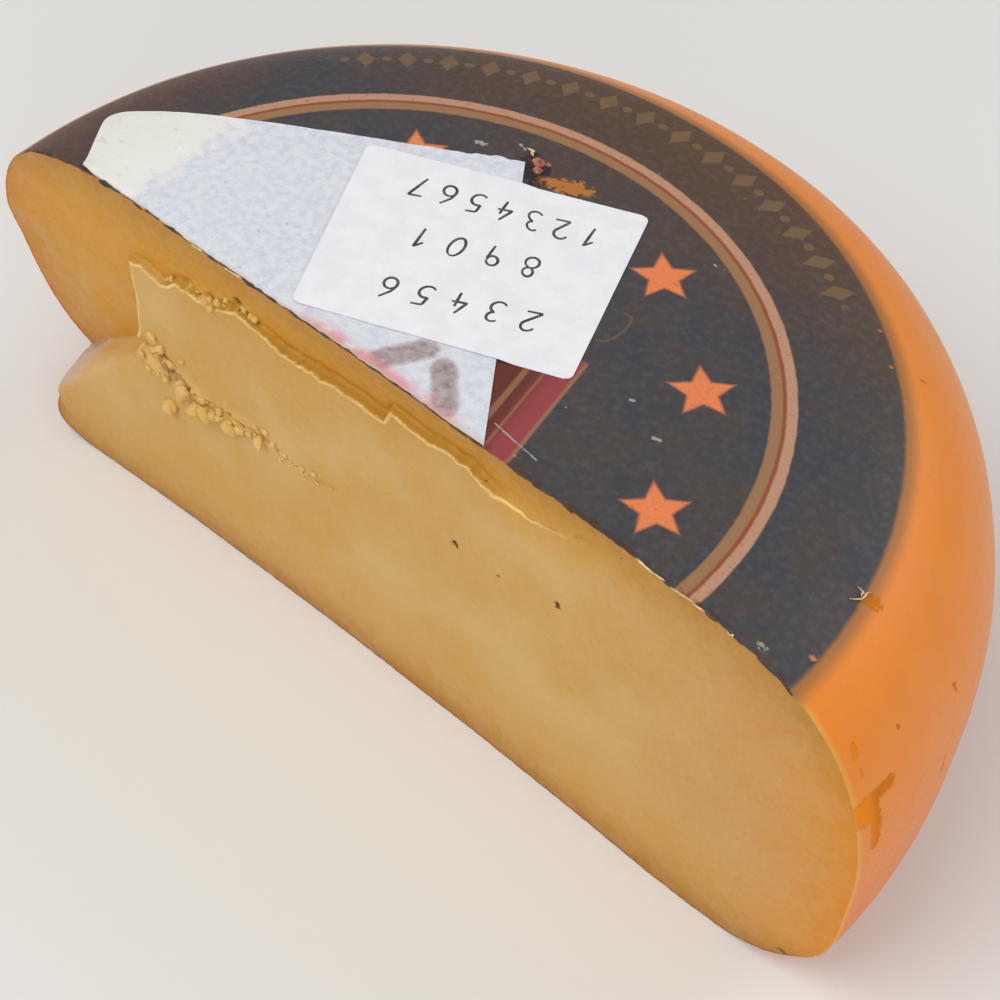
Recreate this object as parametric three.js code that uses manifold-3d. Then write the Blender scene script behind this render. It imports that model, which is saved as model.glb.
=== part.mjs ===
// Half a wheel of gouda lying on its flat underside, cut face towards -Y.
// A first cut from above leans back into the wheel; a second one from below is nearly upright,
// and the thin slab left between them has broken off along a torn line.
// A sheet of paper and a smaller pen-written label lie on top, cut off with the cheese.
import * as THREE from "three";
import { mergeVertices } from "three/addons/utils/BufferGeometryUtils.js";
import Module from "manifold-3d";

const manifold = await Module();
manifold.setup();

// Driving dimensions in millimetres; x and y are measured from the wheel's axis, z from the table.
const WHEEL_RADIUS = 125;
const WHEEL_HEIGHT = 102.6;
const TOP_FLAT_RADIUS = 51.4;
const BOTTOM_FLAT_RADIUS = 98.7;
const FRONT_REACH = 10.2; // how far the piece reaches in front of the wheel's axis

// Powers of the rounded shoulders: 1 and 1 give an ellipse, a low reach power a long flat shoulder.
const TOP_REACH_POWER = 0.474;
const TOP_DROP_POWER = 1.055;
const BOTTOM_REACH_POWER = 1.827;
const BOTTOM_DROP_POWER = 0.49;

// The upright lower cut
const LOWER_EDGE_LEFT = -10.4;
const LOWER_EDGE_RIGHT = -9.8;
const LOWER_LEAN_BACK = 4.9; // the foot of the face stands this far behind its top edge
const FOOT_BOW_LEFT = 5.0;
const FOOT_BOW_RIGHT = 1.5;

// The leaning upper cut
const UPPER_EDGE_LEFT = -10.1;
const UPPER_EDGE_RIGHT = -9.2;
const UPPER_LEAN_LEFT = 0.09;
const UPPER_LEAN_RIGHT = 0.19;
const UPPER_CURL = 0.00123;

// Crumbs and eyes on the lower cut face
const CRACK_DEPTH = 2;
const CRUMB_COUNT = 11;
const CRUMB_RADIUS = 1.6;
const EYES = [
  { x: 19.7, z: 66, radius: 1.3 },
  { x: 47.1, z: 71, radius: 1.1 },
];

// Paper on the top
const SHEET_THICKNESS = 0.4;
const GAP = 0.3;
const DOME_DROP = 12; // the sheets reach no further down the shoulder than this
const PAPER_CORNER_RADIUS = 6;
const PEN_LABEL_LENGTH = 65;
const PEN_LABEL_WIDTH = 51.5;
const PEN_LABEL_CORNER_RADIUS = 2.5;
const PEN_LABEL_TURN = THREE.MathUtils.degToRad(22.5);

// Fineness of the facets
const WHEEL_SEGMENTS = 112;
const PROFILE_STEPS = 26;
const FACE_COLUMNS = 40;
const FACE_ROWS = 14;

// The wheel's outline from the rim of its flat underside, at 0, round the side to the rim of its flat top, at 1.
class WheelProfile extends THREE.Curve {
  getPoint(t, target = new THREE.Vector2()) {
    const angle = (t - 0.5) * Math.PI;
    const upper = angle > 0;
    const flat = upper ? TOP_FLAT_RADIUS : BOTTOM_FLAT_RADIUS;
    const reach = Math.cos(angle) ** (upper ? TOP_REACH_POWER : BOTTOM_REACH_POWER);
    const rise = Math.abs(Math.sin(angle)) ** (upper ? TOP_DROP_POWER : BOTTOM_DROP_POWER);
    const middle = WHEEL_HEIGHT / 2;
    return target.set(flat + (WHEEL_RADIUS - flat) * reach, middle + Math.sign(angle) * middle * rise);
  }
}

// 0 at the piece's left, 1 from a little right of its middle
function rightward(x) {
  return THREE.MathUtils.smoothstep(x, -60, 10);
}

function lowerFaceY(x, z) {
  const depth = 1 - z / WHEEL_HEIGHT;
  const edge = THREE.MathUtils.lerp(LOWER_EDGE_LEFT, LOWER_EDGE_RIGHT, rightward(x));
  const bow = (x < 0 ? FOOT_BOW_LEFT : FOOT_BOW_RIGHT) * (x / WHEEL_RADIUS) ** 2;
  return edge + (LOWER_LEAN_BACK - bow) * depth;
}

function upperFaceY(x, z) {
  const depth = WHEEL_HEIGHT - z;
  const edge = THREE.MathUtils.lerp(UPPER_EDGE_LEFT, UPPER_EDGE_RIGHT, rightward(x));
  const lean = THREE.MathUtils.lerp(UPPER_LEAN_LEFT, UPPER_LEAN_RIGHT, rightward(x));
  return edge + lean * depth + UPPER_CURL * depth ** 2;
}

// A closed three.js geometry as a solid that can be joined and cut.
function solid(geometry) {
  const bare = new THREE.BufferGeometry();
  bare.setAttribute("position", geometry.getAttribute("position"));
  bare.setIndex(geometry.index);
  const merged = mergeVertices(bare, 1e-4);
  return new manifold.Manifold(
    new manifold.Mesh({
      numProp: 3,
      vertProperties: merged.attributes.position.array,
      triVerts: new Uint32Array(merged.index.array),
    }),
  );
}

function geometryOf(body) {
  const mesh = body.getMesh();
  const geometry = new THREE.BufferGeometry();
  geometry.setAttribute("position", new THREE.BufferAttribute(mesh.vertProperties, mesh.numProp));
  geometry.setIndex(new THREE.BufferAttribute(mesh.triVerts, 1));
  geometry.computeVertexNormals();
  return geometry;
}

// The wheel's side and top from the rim of its underside to its crown
function outerOutline() {
  const crown = new THREE.Vector2(0, WHEEL_HEIGHT);
  return [...new WheelProfile().getSpacedPoints(PROFILE_STEPS), crown];
}

function turned(outline) {
  return solid(new THREE.LatheGeometry(outline, WHEEL_SEGMENTS).rotateX(Math.PI / 2));
}

function wholeWheel() {
  return turned([new THREE.Vector2(0, 0), ...outerOutline()]);
}

// A block in front of the cheese whose back follows a cut face.
function blockInFrontOf(faceY) {
  const width = 2.4 * WHEEL_RADIUS;
  const height = 1.2 * WHEEL_HEIGHT;
  const depth = WHEEL_RADIUS;
  const block = new THREE.BoxGeometry(width, depth, height, FACE_COLUMNS, 1, FACE_ROWS);
  block.translate(0, -depth, WHEEL_HEIGHT / 2);
  const position = block.attributes.position;
  for (let i = 0; i < position.count; i++) {
    if (position.getY(i) > -depth) position.setY(i, faceY(position.getX(i), position.getZ(i)));
  }
  return solid(block);
}

// An outline drawn in x and z, as a prism along y.
function prismThroughFace(outline, front, back) {
  const prism = new THREE.ExtrudeGeometry(new THREE.Shape(outline), {
    depth: back - front,
    bevelEnabled: false,
  });
  return solid(prism.rotateX(Math.PI / 2).translate(0, back, 0));
}

function points(pairs) {
  return pairs.map(([a, b]) => new THREE.Vector2(a, b));
}

// The torn line round the broken-off slab: along the ridge to the left, down the flap's end, down the ledge.
const TORN_RIDGE = points([
  [68, 106], [60, 98.1], [55, 95.8], [51.4, 96.5], [46.6, 92.7], [39.4, 90.7], [26, 91.4], [22.8, 94.2],
  [10.6, 93], [1.3, 93.6], [-0.3, 89.6], [-20, 88.8], [-28.5, 87.5], [-35.3, 89.6], [-42.1, 90.9],
  [-49.6, 86.9], [-60.6, 85.3], [-65.3, 82.6], [-71.8, 83.8], [-75.8, 82.4],
]);
const FLAP_END = points([[-74.6, 72], [-74.8, 63], [-75.6, 55]]);
const LEDGE = points([[-78, 49.5], [-85, 44.5], [-97, 32.5], [-105, 24], [-114, 14], [-121, 8]]);

function brokenSlab() {
  const beyond = 1.1 * WHEEL_RADIUS;
  const outside = points([[-beyond, 4], [-beyond, 1.1 * WHEEL_HEIGHT], [68, 1.1 * WHEEL_HEIGHT]]);
  return prismThroughFace([...TORN_RIDGE, ...FLAP_END, ...LEDGE, ...outside], -50, 40);
}

// The crack under the flap, a wedge-shaped groove that runs out to the right
function crack() {
  const outline = points([
    [-76, 57], [-72.5, 54.6], [-62, 54.2], [-48, 54], [-34, 54.3], [-18, 54.6],
    [-34, 53.4], [-48, 52.6], [-62, 52.2], [-73, 52.4],
  ]);
  const faceY = lowerFaceY(-50, 54);
  return prismThroughFace(outline, -50, faceY + CRACK_DEPTH);
}

// Crumbs caught along the crack, larger near the flap's end
function crumbs() {
  const lumps = [];
  for (let i = 0; i < CRUMB_COUNT; i++) {
    const along = i / (CRUMB_COUNT - 1);
    const x = -70 + 42 * along ** 1.2;
    const z = 49 + 3 * Math.sin(2.4 * i);
    const radius = CRUMB_RADIUS * (1 - 0.45 * along) * (0.85 + 0.25 * Math.sin(3.7 * i));
    const lump = new THREE.IcosahedronGeometry(radius, 0);
    lump.scale(1.3, 0.9, 0.9).rotateY(0.9 * i).rotateX(0.5 * i);
    lumps.push(solid(lump.translate(x, lowerFaceY(x, z) - 0.1 * radius, z)));
  }
  return lumps;
}

function eyes() {
  return EYES.map(({ x, z, radius }) =>
    solid(new THREE.IcosahedronGeometry(radius, 1).translate(x, lowerFaceY(x, z) - 0.2, z)),
  );
}

function cutCheese(inFrontOfLower, inFrontOfUpper) {
  const missing = inFrontOfUpper.intersect(brokenSlab());
  const halved = wholeWheel().subtract(inFrontOfLower).subtract(missing).subtract(crack());
  const pitted = eyes().reduce((body, eye) => body.subtract(eye), halved);
  return crumbs().reduce((body, crumb) => body.add(crumb), pitted);
}

// A layer of paper all over the domed top at a height above it
function domedLayer(lift) {
  const dome = outerOutline().filter((point) => point.y > WHEEL_HEIGHT - DOME_DROP);
  const raised = (by) => dome.map((point) => new THREE.Vector2(point.x, point.y + by));
  return turned([...raised(lift).reverse(), ...raised(lift + SHEET_THICKNESS)]);
}

// A sheet that lies on the domed top, cut to an outline drawn in x and y.
function sheetOnTop(outline, lift) {
  const cutter = new THREE.ExtrudeGeometry(outline, { depth: 2 * WHEEL_HEIGHT, bevelEnabled: false });
  return domedLayer(lift).intersect(solid(cutter));
}

// A four-sided outline whose corners are rounded, each by its own radius.
function roundedOutline(corners, radii) {
  const outline = new THREE.Shape();
  corners.forEach((corner, i) => {
    const before = corners.at(i - 1);
    const after = corners[(i + 1) % corners.length];
    const arrive = corner.clone().add(before.clone().sub(corner).setLength(radii[i]));
    const leave = corner.clone().add(after.clone().sub(corner).setLength(radii[i]));
    if (i === 0) outline.moveTo(arrive.x, arrive.y);
    else outline.lineTo(arrive.x, arrive.y);
    outline.quadraticCurveTo(corner.x, corner.y, leave.x, leave.y);
  });
  return outline;
}

// The large sheet runs over the cut edge here, and the cuts take off what sticks out.
const PAPER_CORNERS = points([[-83, -16], [31, -16], [-21.6, 57.8], [-100.5, 7.4]]);
const PAPER_RADII = [0.5, 0.5, 1, PAPER_CORNER_RADIUS];

function paperSheet(...cuts) {
  const sheet = sheetOnTop(roundedOutline(PAPER_CORNERS, PAPER_RADII), GAP);
  return cuts.reduce((body, cut) => body.subtract(cut), sheet);
}

// The pen-written label, drawn from its far right corner back along its length.
function penLabel(...cuts) {
  const farRight = new THREE.Vector2(7.2, 64.2);
  const along = new THREE.Vector2(-PEN_LABEL_LENGTH, 0).rotateAround(new THREE.Vector2(), PEN_LABEL_TURN);
  const across = new THREE.Vector2(0, -PEN_LABEL_WIDTH).rotateAround(new THREE.Vector2(), PEN_LABEL_TURN);
  const farLeft = farRight.clone().add(along);
  const corners = [farRight, farLeft, farLeft.clone().add(across), farRight.clone().add(across)];
  const outline = roundedOutline(corners, corners.map(() => PEN_LABEL_CORNER_RADIUS));
  const sheet = sheetOnTop(outline, 2 * GAP + SHEET_THICKNESS);
  return cuts.reduce((body, cut) => body.subtract(cut), sheet);
}

function named(name, body, color, roughness) {
  const material = new THREE.MeshStandardMaterial({ color, roughness, metalness: 0 });
  const mesh = new THREE.Mesh(geometryOf(body), material);
  mesh.name = name;
  return mesh;
}

function goudaPiece() {
  const inFrontOfLower = blockInFrontOf(lowerFaceY);
  const inFrontOfUpper = blockInFrontOf(upperFaceY);
  const wheel = new THREE.Group();
  wheel.add(
    named("cheese", cutCheese(inFrontOfLower, inFrontOfUpper), 0xc99a50, 0.55),
    named("paper_sheet", paperSheet(inFrontOfLower, inFrontOfUpper), 0xdcdce4, 0.8),
    named("pen_label", penLabel(inFrontOfLower, inFrontOfUpper), 0xf2f1f5, 0.7),
  );
  wheel.position.y = (FRONT_REACH - WHEEL_RADIUS) / 2;
  const piece = new THREE.Group();
  piece.add(wheel);
  return piece;
}

export default goudaPiece();
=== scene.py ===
"""Dresses a cut half wheel of gouda: its paste, its wax coat, its paper and its pen label.

Places are worked out in wheel millimetres: x to the right along the cut, y backwards from the
wheel's upright axis, z up from the table. They become metres of the row frame when a mesh is made.
"""

import logging
import math
from dataclasses import dataclass, field
from enum import Enum

import bpy
import numpy as np
from mathutils import Matrix, Vector


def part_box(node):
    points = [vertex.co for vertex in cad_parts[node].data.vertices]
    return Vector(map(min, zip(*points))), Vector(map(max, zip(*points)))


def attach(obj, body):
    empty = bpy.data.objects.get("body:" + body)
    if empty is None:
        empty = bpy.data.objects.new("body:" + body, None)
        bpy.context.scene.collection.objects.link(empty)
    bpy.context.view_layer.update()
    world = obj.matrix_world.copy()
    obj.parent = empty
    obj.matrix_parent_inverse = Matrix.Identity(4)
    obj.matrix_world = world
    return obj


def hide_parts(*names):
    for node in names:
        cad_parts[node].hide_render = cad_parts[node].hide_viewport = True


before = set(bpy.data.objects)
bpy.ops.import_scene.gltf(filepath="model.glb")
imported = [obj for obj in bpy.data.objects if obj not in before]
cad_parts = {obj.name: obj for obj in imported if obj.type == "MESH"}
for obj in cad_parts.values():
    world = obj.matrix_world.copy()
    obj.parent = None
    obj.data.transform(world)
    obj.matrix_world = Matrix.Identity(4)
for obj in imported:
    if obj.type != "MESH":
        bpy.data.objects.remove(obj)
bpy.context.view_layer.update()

Array = np.ndarray
Point = tuple[float, float]
Socket = bpy.types.NodeSocket
MM = 0.001
LOG = logging.getLogger("gouda")
VECTOR, NUMBER = "NodeSocketVector", "NodeSocketFloat"
FLAT_TOP = 102.6  # the height, in wheel millimetres, of the strokes on the level top
CUT_DEPTH = -10.0  # about where the cut is, in y: the first guess where a depth is settled by repeating
RIM_ROUNDS, SIDE_ROUNDS = 4, 14  # how often it is repeated, at the cut's upper edge and at its sides
PROFILE_POINTS = 1200
PROFILE_SAMPLES = 2000  # of each half of the side, before they are spaced evenly


class Slot(Enum):
    """The record's material slots."""

    CHEESE = "cheese"
    PAPER = "paper"
    LABEL = "label"


class Side(Enum):
    """The two ends of the cut, as seen from the front."""

    LEFT = -1
    RIGHT = 1


def smoothstep(value: Array, low: float, high: float) -> Array:
    """A soft step: 0 up to low, 1 from high on, and t * t * (3 - 2 t) between."""
    t = np.clip((value - low) / (high - low), 0.0, 1.0)
    return t * t * (3.0 - 2.0 * t)


def mixed(a: Array, b: Array, share: Array) -> Array:
    """a where share is 0 and b where it is 1."""
    return a + (b - a) * share


def window(value: Array, rise: Point, fall: Point) -> Array:
    """1 in the middle and 0 outside: a soft step up over rise times a soft step down over fall."""
    return smoothstep(value, *rise) * (1 - smoothstep(value, *fall))


def bell(distance: Array, width: float) -> Array:
    """A bump of height 1: e to the power of minus (distance / width) squared."""
    return np.exp(-((distance / width) ** 2))


def value_noise(x: Array, y: Array, cell: float, seed: int) -> Array:
    """Smooth noise from -1 to 1.

    Formula: every corner of a square lattice has a random height, and a point takes its four
    corners' heights, weighted by soft steps of its place in the cell.

    Args:
        x, y: places, in any unit.
        cell: the lattice's spacing in that unit.
        seed: the random table's seed.

    Returns:
        One value for each place.
    """
    table = np.random.default_rng(seed).uniform(-1.0, 1.0, (64, 64))
    across, along = x / cell, y / cell
    column, row = np.floor(across), np.floor(along)
    s, t = smoothstep(across - column, 0.0, 1.0), smoothstep(along - row, 0.0, 1.0)
    i, j = column.astype(int), row.astype(int)
    near = mixed(table[i % 64, j % 64], table[(i + 1) % 64, j % 64], s)
    far = mixed(table[i % 64, (j + 1) % 64], table[(i + 1) % 64, (j + 1) % 64], s)
    return mixed(near, far, t)


def resampled(points: Array, count: int) -> Array:
    """A polyline's points moved to equal steps of its length."""
    steps = np.linalg.norm(np.diff(points, axis=0), axis=1)
    station = np.concatenate([[0.0], np.cumsum(steps)])
    wanted = np.linspace(0.0, station[-1], count)
    return np.stack([np.interp(wanted, station, axis) for axis in points.T], axis=1)


def directions(path: Array) -> Array:
    """The unit direction of a path at each of its points."""
    slope = np.gradient(path, axis=0)
    return slope / np.linalg.norm(slope, axis=1)[:, None]


def rounded_path(corners: tuple[Point, ...], reach: float, count: int) -> Array:
    """A polyline whose inner corners are rounded.

    Formula: within reach of a corner the path is the parabola whose tangents are the two sides,
    (1-t)^2 A + 2t(1-t) C + t^2 B, with A and B on the sides and C the corner.

    Args:
        corners: the ends and the corners.
        reach: how far from a corner its curve starts.
        count: points wanted, at equal steps.

    Returns:
        The points, one row each.
    """
    path = [np.array(corners[:1], float)]
    t = np.linspace(0.0, 1.0, 16)[:, None]
    for before, corner, after in zip(corners, corners[1:], corners[2:]):
        a, c, b = (np.array(p, float) for p in (before, corner, after))
        start = c + (a - c) * reach / np.linalg.norm(a - c)
        end = c + (b - c) * reach / np.linalg.norm(b - c)
        path.append((1 - t) ** 2 * start + 2 * t * (1 - t) * c + t ** 2 * end)
    path.append(np.array(corners[-1:], float))
    return resampled(np.concatenate(path), count)


def to_chain(x: Array, z: Array, chain: Array) -> tuple[Array, Array, Array, Array]:
    """How places lie to a chain of straight links.

    Args:
        x, z: places, in flat arrays.
        chain: the chain's points, one row each.

    Returns:
        The distance, the nearest point's x and z, and its station along the chain.
    """
    start, link = chain[:-1], np.diff(chain, axis=0)
    length = np.linalg.norm(link, axis=1)
    dx, dz = x[:, None] - start[:, 0], z[:, None] - start[:, 1]
    share = np.clip((dx * link[:, 0] + dz * link[:, 1]) / length ** 2, 0.0, 1.0)
    distance = np.hypot(dx - share * link[:, 0], dz - share * link[:, 1])
    nearest = distance.argmin(axis=1)
    row = np.arange(len(x))
    share = share[row, nearest]
    foot = start[nearest] + share[:, None] * link[nearest]
    before = np.concatenate([[0.0], np.cumsum(length)])[nearest]
    return distance[row, nearest], foot[:, 0], foot[:, 1], before + share * length[nearest]


def within(x: Array, z: Array, outline: Array) -> Array:
    """Which places lie in a closed outline: those from which a ray crosses it an odd number of times."""
    ax, az = outline[:, 0], outline[:, 1]
    bx, bz = np.roll(ax, -1), np.roll(az, -1)
    spans = (az > z[:, None]) != (bz > z[:, None])
    rise = np.where(bz == az, 1e-9, bz - az)
    crossing = ax + (z[:, None] - az) * (bx - ax) / rise
    return (spans & (x[:, None] < crossing)).sum(axis=1) % 2 == 1


def between(number: Array) -> Array:
    """The quads between neighbours in a grid of vertex numbers, as a grid."""
    return np.stack([number[:-1, :-1], number[:-1, 1:], number[1:, 1:], number[1:, :-1]], axis=-1)


def grid_faces(rows: int, columns: int, start: int = 0) -> Array:
    """The quads of a grid of rows x columns vertices, numbered row by row from start."""
    return between(start + np.arange(rows * columns).reshape(rows, columns)).reshape(-1, 4)


def tube_faces(rings: int, segments: int) -> tuple[Array, Array]:
    """The faces of a closed tube.

    Args:
        rings: how many rings of vertices it has, numbered ring by ring.
        segments: the vertices of a ring.

    Returns:
        The quads between the rings, and the triangles that join the first ring to the vertex
        numbered next after the rings and the last ring to the one after that.
    """
    number = np.arange(rings * segments).reshape(rings, segments)
    onward = np.roll(number, -1, axis=1)
    quads = np.stack([number[:-1], number[1:], onward[1:], onward[:-1]], axis=-1).reshape(-1, 4)
    hubs = np.full((2, segments), [[rings * segments], [rings * segments + 1]])
    caps = [
        np.stack([hubs[0], number[0], onward[0]], axis=1),
        np.stack([hubs[1], onward[-1], number[-1]], axis=1),
    ]
    return quads, np.concatenate(caps)


def linked(name: str, data: bpy.types.ID) -> bpy.types.Object:
    """A new object that holds the data, linked to the scene."""
    made = bpy.data.objects.new(name, data)
    bpy.context.scene.collection.objects.link(made)
    return made


@dataclass
class Shape:
    """A surface in wheel millimetres: vertices, quads, triangles and named values at its vertices."""

    vertices: Array
    quads: Array = field(default_factory=lambda: np.zeros((0, 4), int))
    triangles: Array = field(default_factory=lambda: np.zeros((0, 3), int))
    marks: dict[str, Array] = field(default_factory=dict)

    def as_triangles(self) -> Array:
        """Every face as triangles, quads split along their first diagonal."""
        halves = [self.quads[:, [0, 1, 2]], self.quads[:, [0, 2, 3]], self.triangles]
        return np.concatenate(halves)

    def outward(self) -> "Shape":
        """The same closed surface with its faces pointing out.

        Formula: the sum of a . (b x c) over its triangles is six times its volume, and is
        negative where the faces point in.
        """
        a, b, c = (self.vertices[self.as_triangles()[:, k]] for k in range(3))
        if np.einsum("ij,ij->", a, np.cross(b, c)) < 0.0:
            self.quads, self.triangles = self.quads[:, ::-1], self.triangles[:, ::-1]
        return self

    @staticmethod
    def joined(shapes: list["Shape"]) -> "Shape":
        """Several shapes as one, with the vertices numbered on."""
        starts = np.cumsum([0] + [len(s.vertices) for s in shapes])
        names = {name for s in shapes for name in s.marks}
        return Shape(
            np.concatenate([s.vertices for s in shapes]),
            np.concatenate([s.quads + n for s, n in zip(shapes, starts)]),
            np.concatenate([s.triangles + n for s, n in zip(shapes, starts)]),
            {
                name: np.concatenate([s.marks.get(name, np.zeros(len(s.vertices))) for s in shapes])
                for name in names
            },
        )

    def placed(self, name: str, axis_y: float, crease: float) -> bpy.types.Object:
        """Makes the shape a Blender object at the origin.

        Args:
            name: the piece's name.
            axis_y: where the wheel's axis is in the row frame, in millimetres.
            crease: edges that bend more than this, in degrees, are drawn sharp.

        Returns:
            The new object, linked to the scene.
        """
        mesh = bpy.data.meshes.new(name)
        corners = np.concatenate([self.quads.ravel(), self.triangles.ravel()])
        starts = np.concatenate([
            np.arange(len(self.quads)) * 4,
            len(self.quads) * 4 + np.arange(len(self.triangles)) * 3,
        ])
        metres = (self.vertices + (0.0, axis_y, 0.0)) * MM
        mesh.vertices.add(len(metres))
        mesh.vertices.foreach_set("co", metres.astype(np.float32).ravel())
        mesh.loops.add(len(corners))
        mesh.loops.foreach_set("vertex_index", corners.astype(np.int32))
        mesh.polygons.add(len(starts))
        mesh.polygons.foreach_set("loop_start", starts.astype(np.int32))
        mesh.update(calc_edges=True)
        mesh.validate()
        for mark, values in self.marks.items():
            layer = mesh.attributes.new(mark, "FLOAT", "POINT")
            layer.data.foreach_set("value", values.astype(np.float32))
        mesh.shade_smooth()
        mesh.set_sharp_from_angle(angle=math.radians(crease))
        return linked(name, mesh)


def thick_sheet(top: Array, down: Array, marks: dict[str, Array]) -> Shape:
    """A closed sheet from a grid and its back.

    Args:
        top: the face, as rows x columns x 3.
        down: the back, of the same shape.
        marks: named values on the grid, the same for both.

    Returns:
        Both grids, joined all the way round by a rim.
    """
    rows, columns = top.shape[:2]
    size = rows * columns
    number = np.arange(size).reshape(rows, columns)
    loop = np.concatenate([
        number[0, :-1], number[:-1, -1], number[-1, :0:-1], number[:0:-1, 0],
    ])
    after = np.roll(loop, -1)
    rim = np.stack([loop, loop + size, after + size, after], axis=1)
    quads = np.concatenate([
        grid_faces(rows, columns), grid_faces(rows, columns, size)[:, ::-1], rim,
    ])
    vertices = np.concatenate([top.reshape(-1, 3), down.reshape(-1, 3)])
    doubled = {name: np.tile(values.ravel(), 2) for name, values in marks.items()}
    return Shape(vertices, quads, marks=doubled).outward()


def ball(rings: int, segments: int) -> Shape:
    """A unit ball: rings of segments from pole to pole, each pole one vertex."""
    lift = (np.arange(rings) + 1) * math.pi / (rings + 1)
    turn = np.arange(segments) * 2 * math.pi / segments
    x = np.sin(lift)[:, None] * np.cos(turn)
    y = np.sin(lift)[:, None] * np.sin(turn)
    z = np.repeat(np.cos(lift)[:, None], segments, axis=1)
    vertices = np.concatenate([
        np.stack([x, y, z], axis=-1).reshape(-1, 3), [[0.0, 0.0, 1.0], [0.0, 0.0, -1.0]],
    ])
    return Shape(vertices, *tube_faces(rings, segments)).outward()


def carried_section(path: Array, across: Array, lift: Array, section: Array, width: Array) -> Shape:
    """A closed section carried along a path, with each end drawn to a point.

    Formula: vertex = path + width * (section's first number * across + second number * lift).

    Args:
        path: points of the centre line, one row each.
        across, lift: unit directions at each point.
        section: the section's outline, one row of two numbers each, in millimetres at width 1.
        width: the section's scale at each point.

    Returns:
        The closed strip.
    """
    ring = section[:, :1] * across[:, None] + section[:, 1:] * lift[:, None]
    body = path[:, None] + ring * width[:, None, None]
    vertices = np.concatenate([body.reshape(-1, 3), path[[0, -1]]])
    return Shape(vertices, *tube_faces(len(path), len(section))).outward()


@dataclass(frozen=True)
class Wheel:
    """The whole wheel, a shape turned about its upright axis, in millimetres."""

    radius: float
    height: float
    axis_y: float
    top_flat: float = 51.4
    bottom_flat: float = 98.7
    top_reach: float = 0.474
    top_drop: float = 1.055
    bottom_reach: float = 1.827
    bottom_drop: float = 0.49
    sampling: Point = (2.04, 2.11)

    @classmethod
    def from_frame(cls) -> "Wheel":
        """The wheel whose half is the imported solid: its radius and height come from that solid's box."""
        low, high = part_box("cheese")
        radius = (high.x - low.x) / 2 / MM
        return cls(radius, (high.z - low.z) / MM, high.y / MM - radius)

    def profile(self, inset: float = 0.0) -> tuple[Array, Array]:
        """The side's outline from the foot's edge to the top flat's edge, at equal steps.

        Formula: with an angle a from -90 to 90 degrees, the distance from the axis is
        flat + (radius - flat) * cos(a) ^ reach and the height is half the wheel's, plus or
        minus half of it times |sin(a)| ^ drop. Above and below have their own flat, reach and drop.

        Args:
            inset: how far inside the surface the outline lies.

        Returns:
            The distances from the axis and the heights.
        """
        u = np.linspace(0.0, 1.0, PROFILE_SAMPLES)
        below = (1 - u) ** self.sampling[0] * math.pi / 2
        above = (1 - (1 - u) ** self.sampling[1]) * math.pi / 2
        half = self.height / 2
        foot = self.bottom_flat + (self.radius - self.bottom_flat) * np.cos(below) ** self.bottom_reach
        head = self.top_flat + (self.radius - self.top_flat) * np.cos(above) ** self.top_reach
        foot_z = half - half * np.sin(below) ** self.bottom_drop
        head_z = half + half * np.sin(above) ** self.top_drop
        head[-1] = self.top_flat
        path = np.stack([np.concatenate([foot, head[1:]]), np.concatenate([foot_z, head_z[1:]])], axis=1)
        path = resampled(path, PROFILE_POINTS)
        slope = directions(path)
        r, z = path[:, 0] - inset * slope[:, 1], path[:, 1] + inset * slope[:, 0]
        z[0], z[-1] = inset, self.height - inset
        return r, z

    def girth(self, z: Array, inset: float = 0.0) -> Array:
        """The distance from the axis to the surface at a height."""
        r, heights = self.profile(inset)
        return np.interp(z, heights, r)

    def top_at(self, x: Array, y: Array) -> Array:
        """The height of the upper surface over a place."""
        r, z = self.profile()
        half = len(r) // 2
        return np.interp(np.hypot(x, y), r[half:][::-1], z[half:][::-1])


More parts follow.
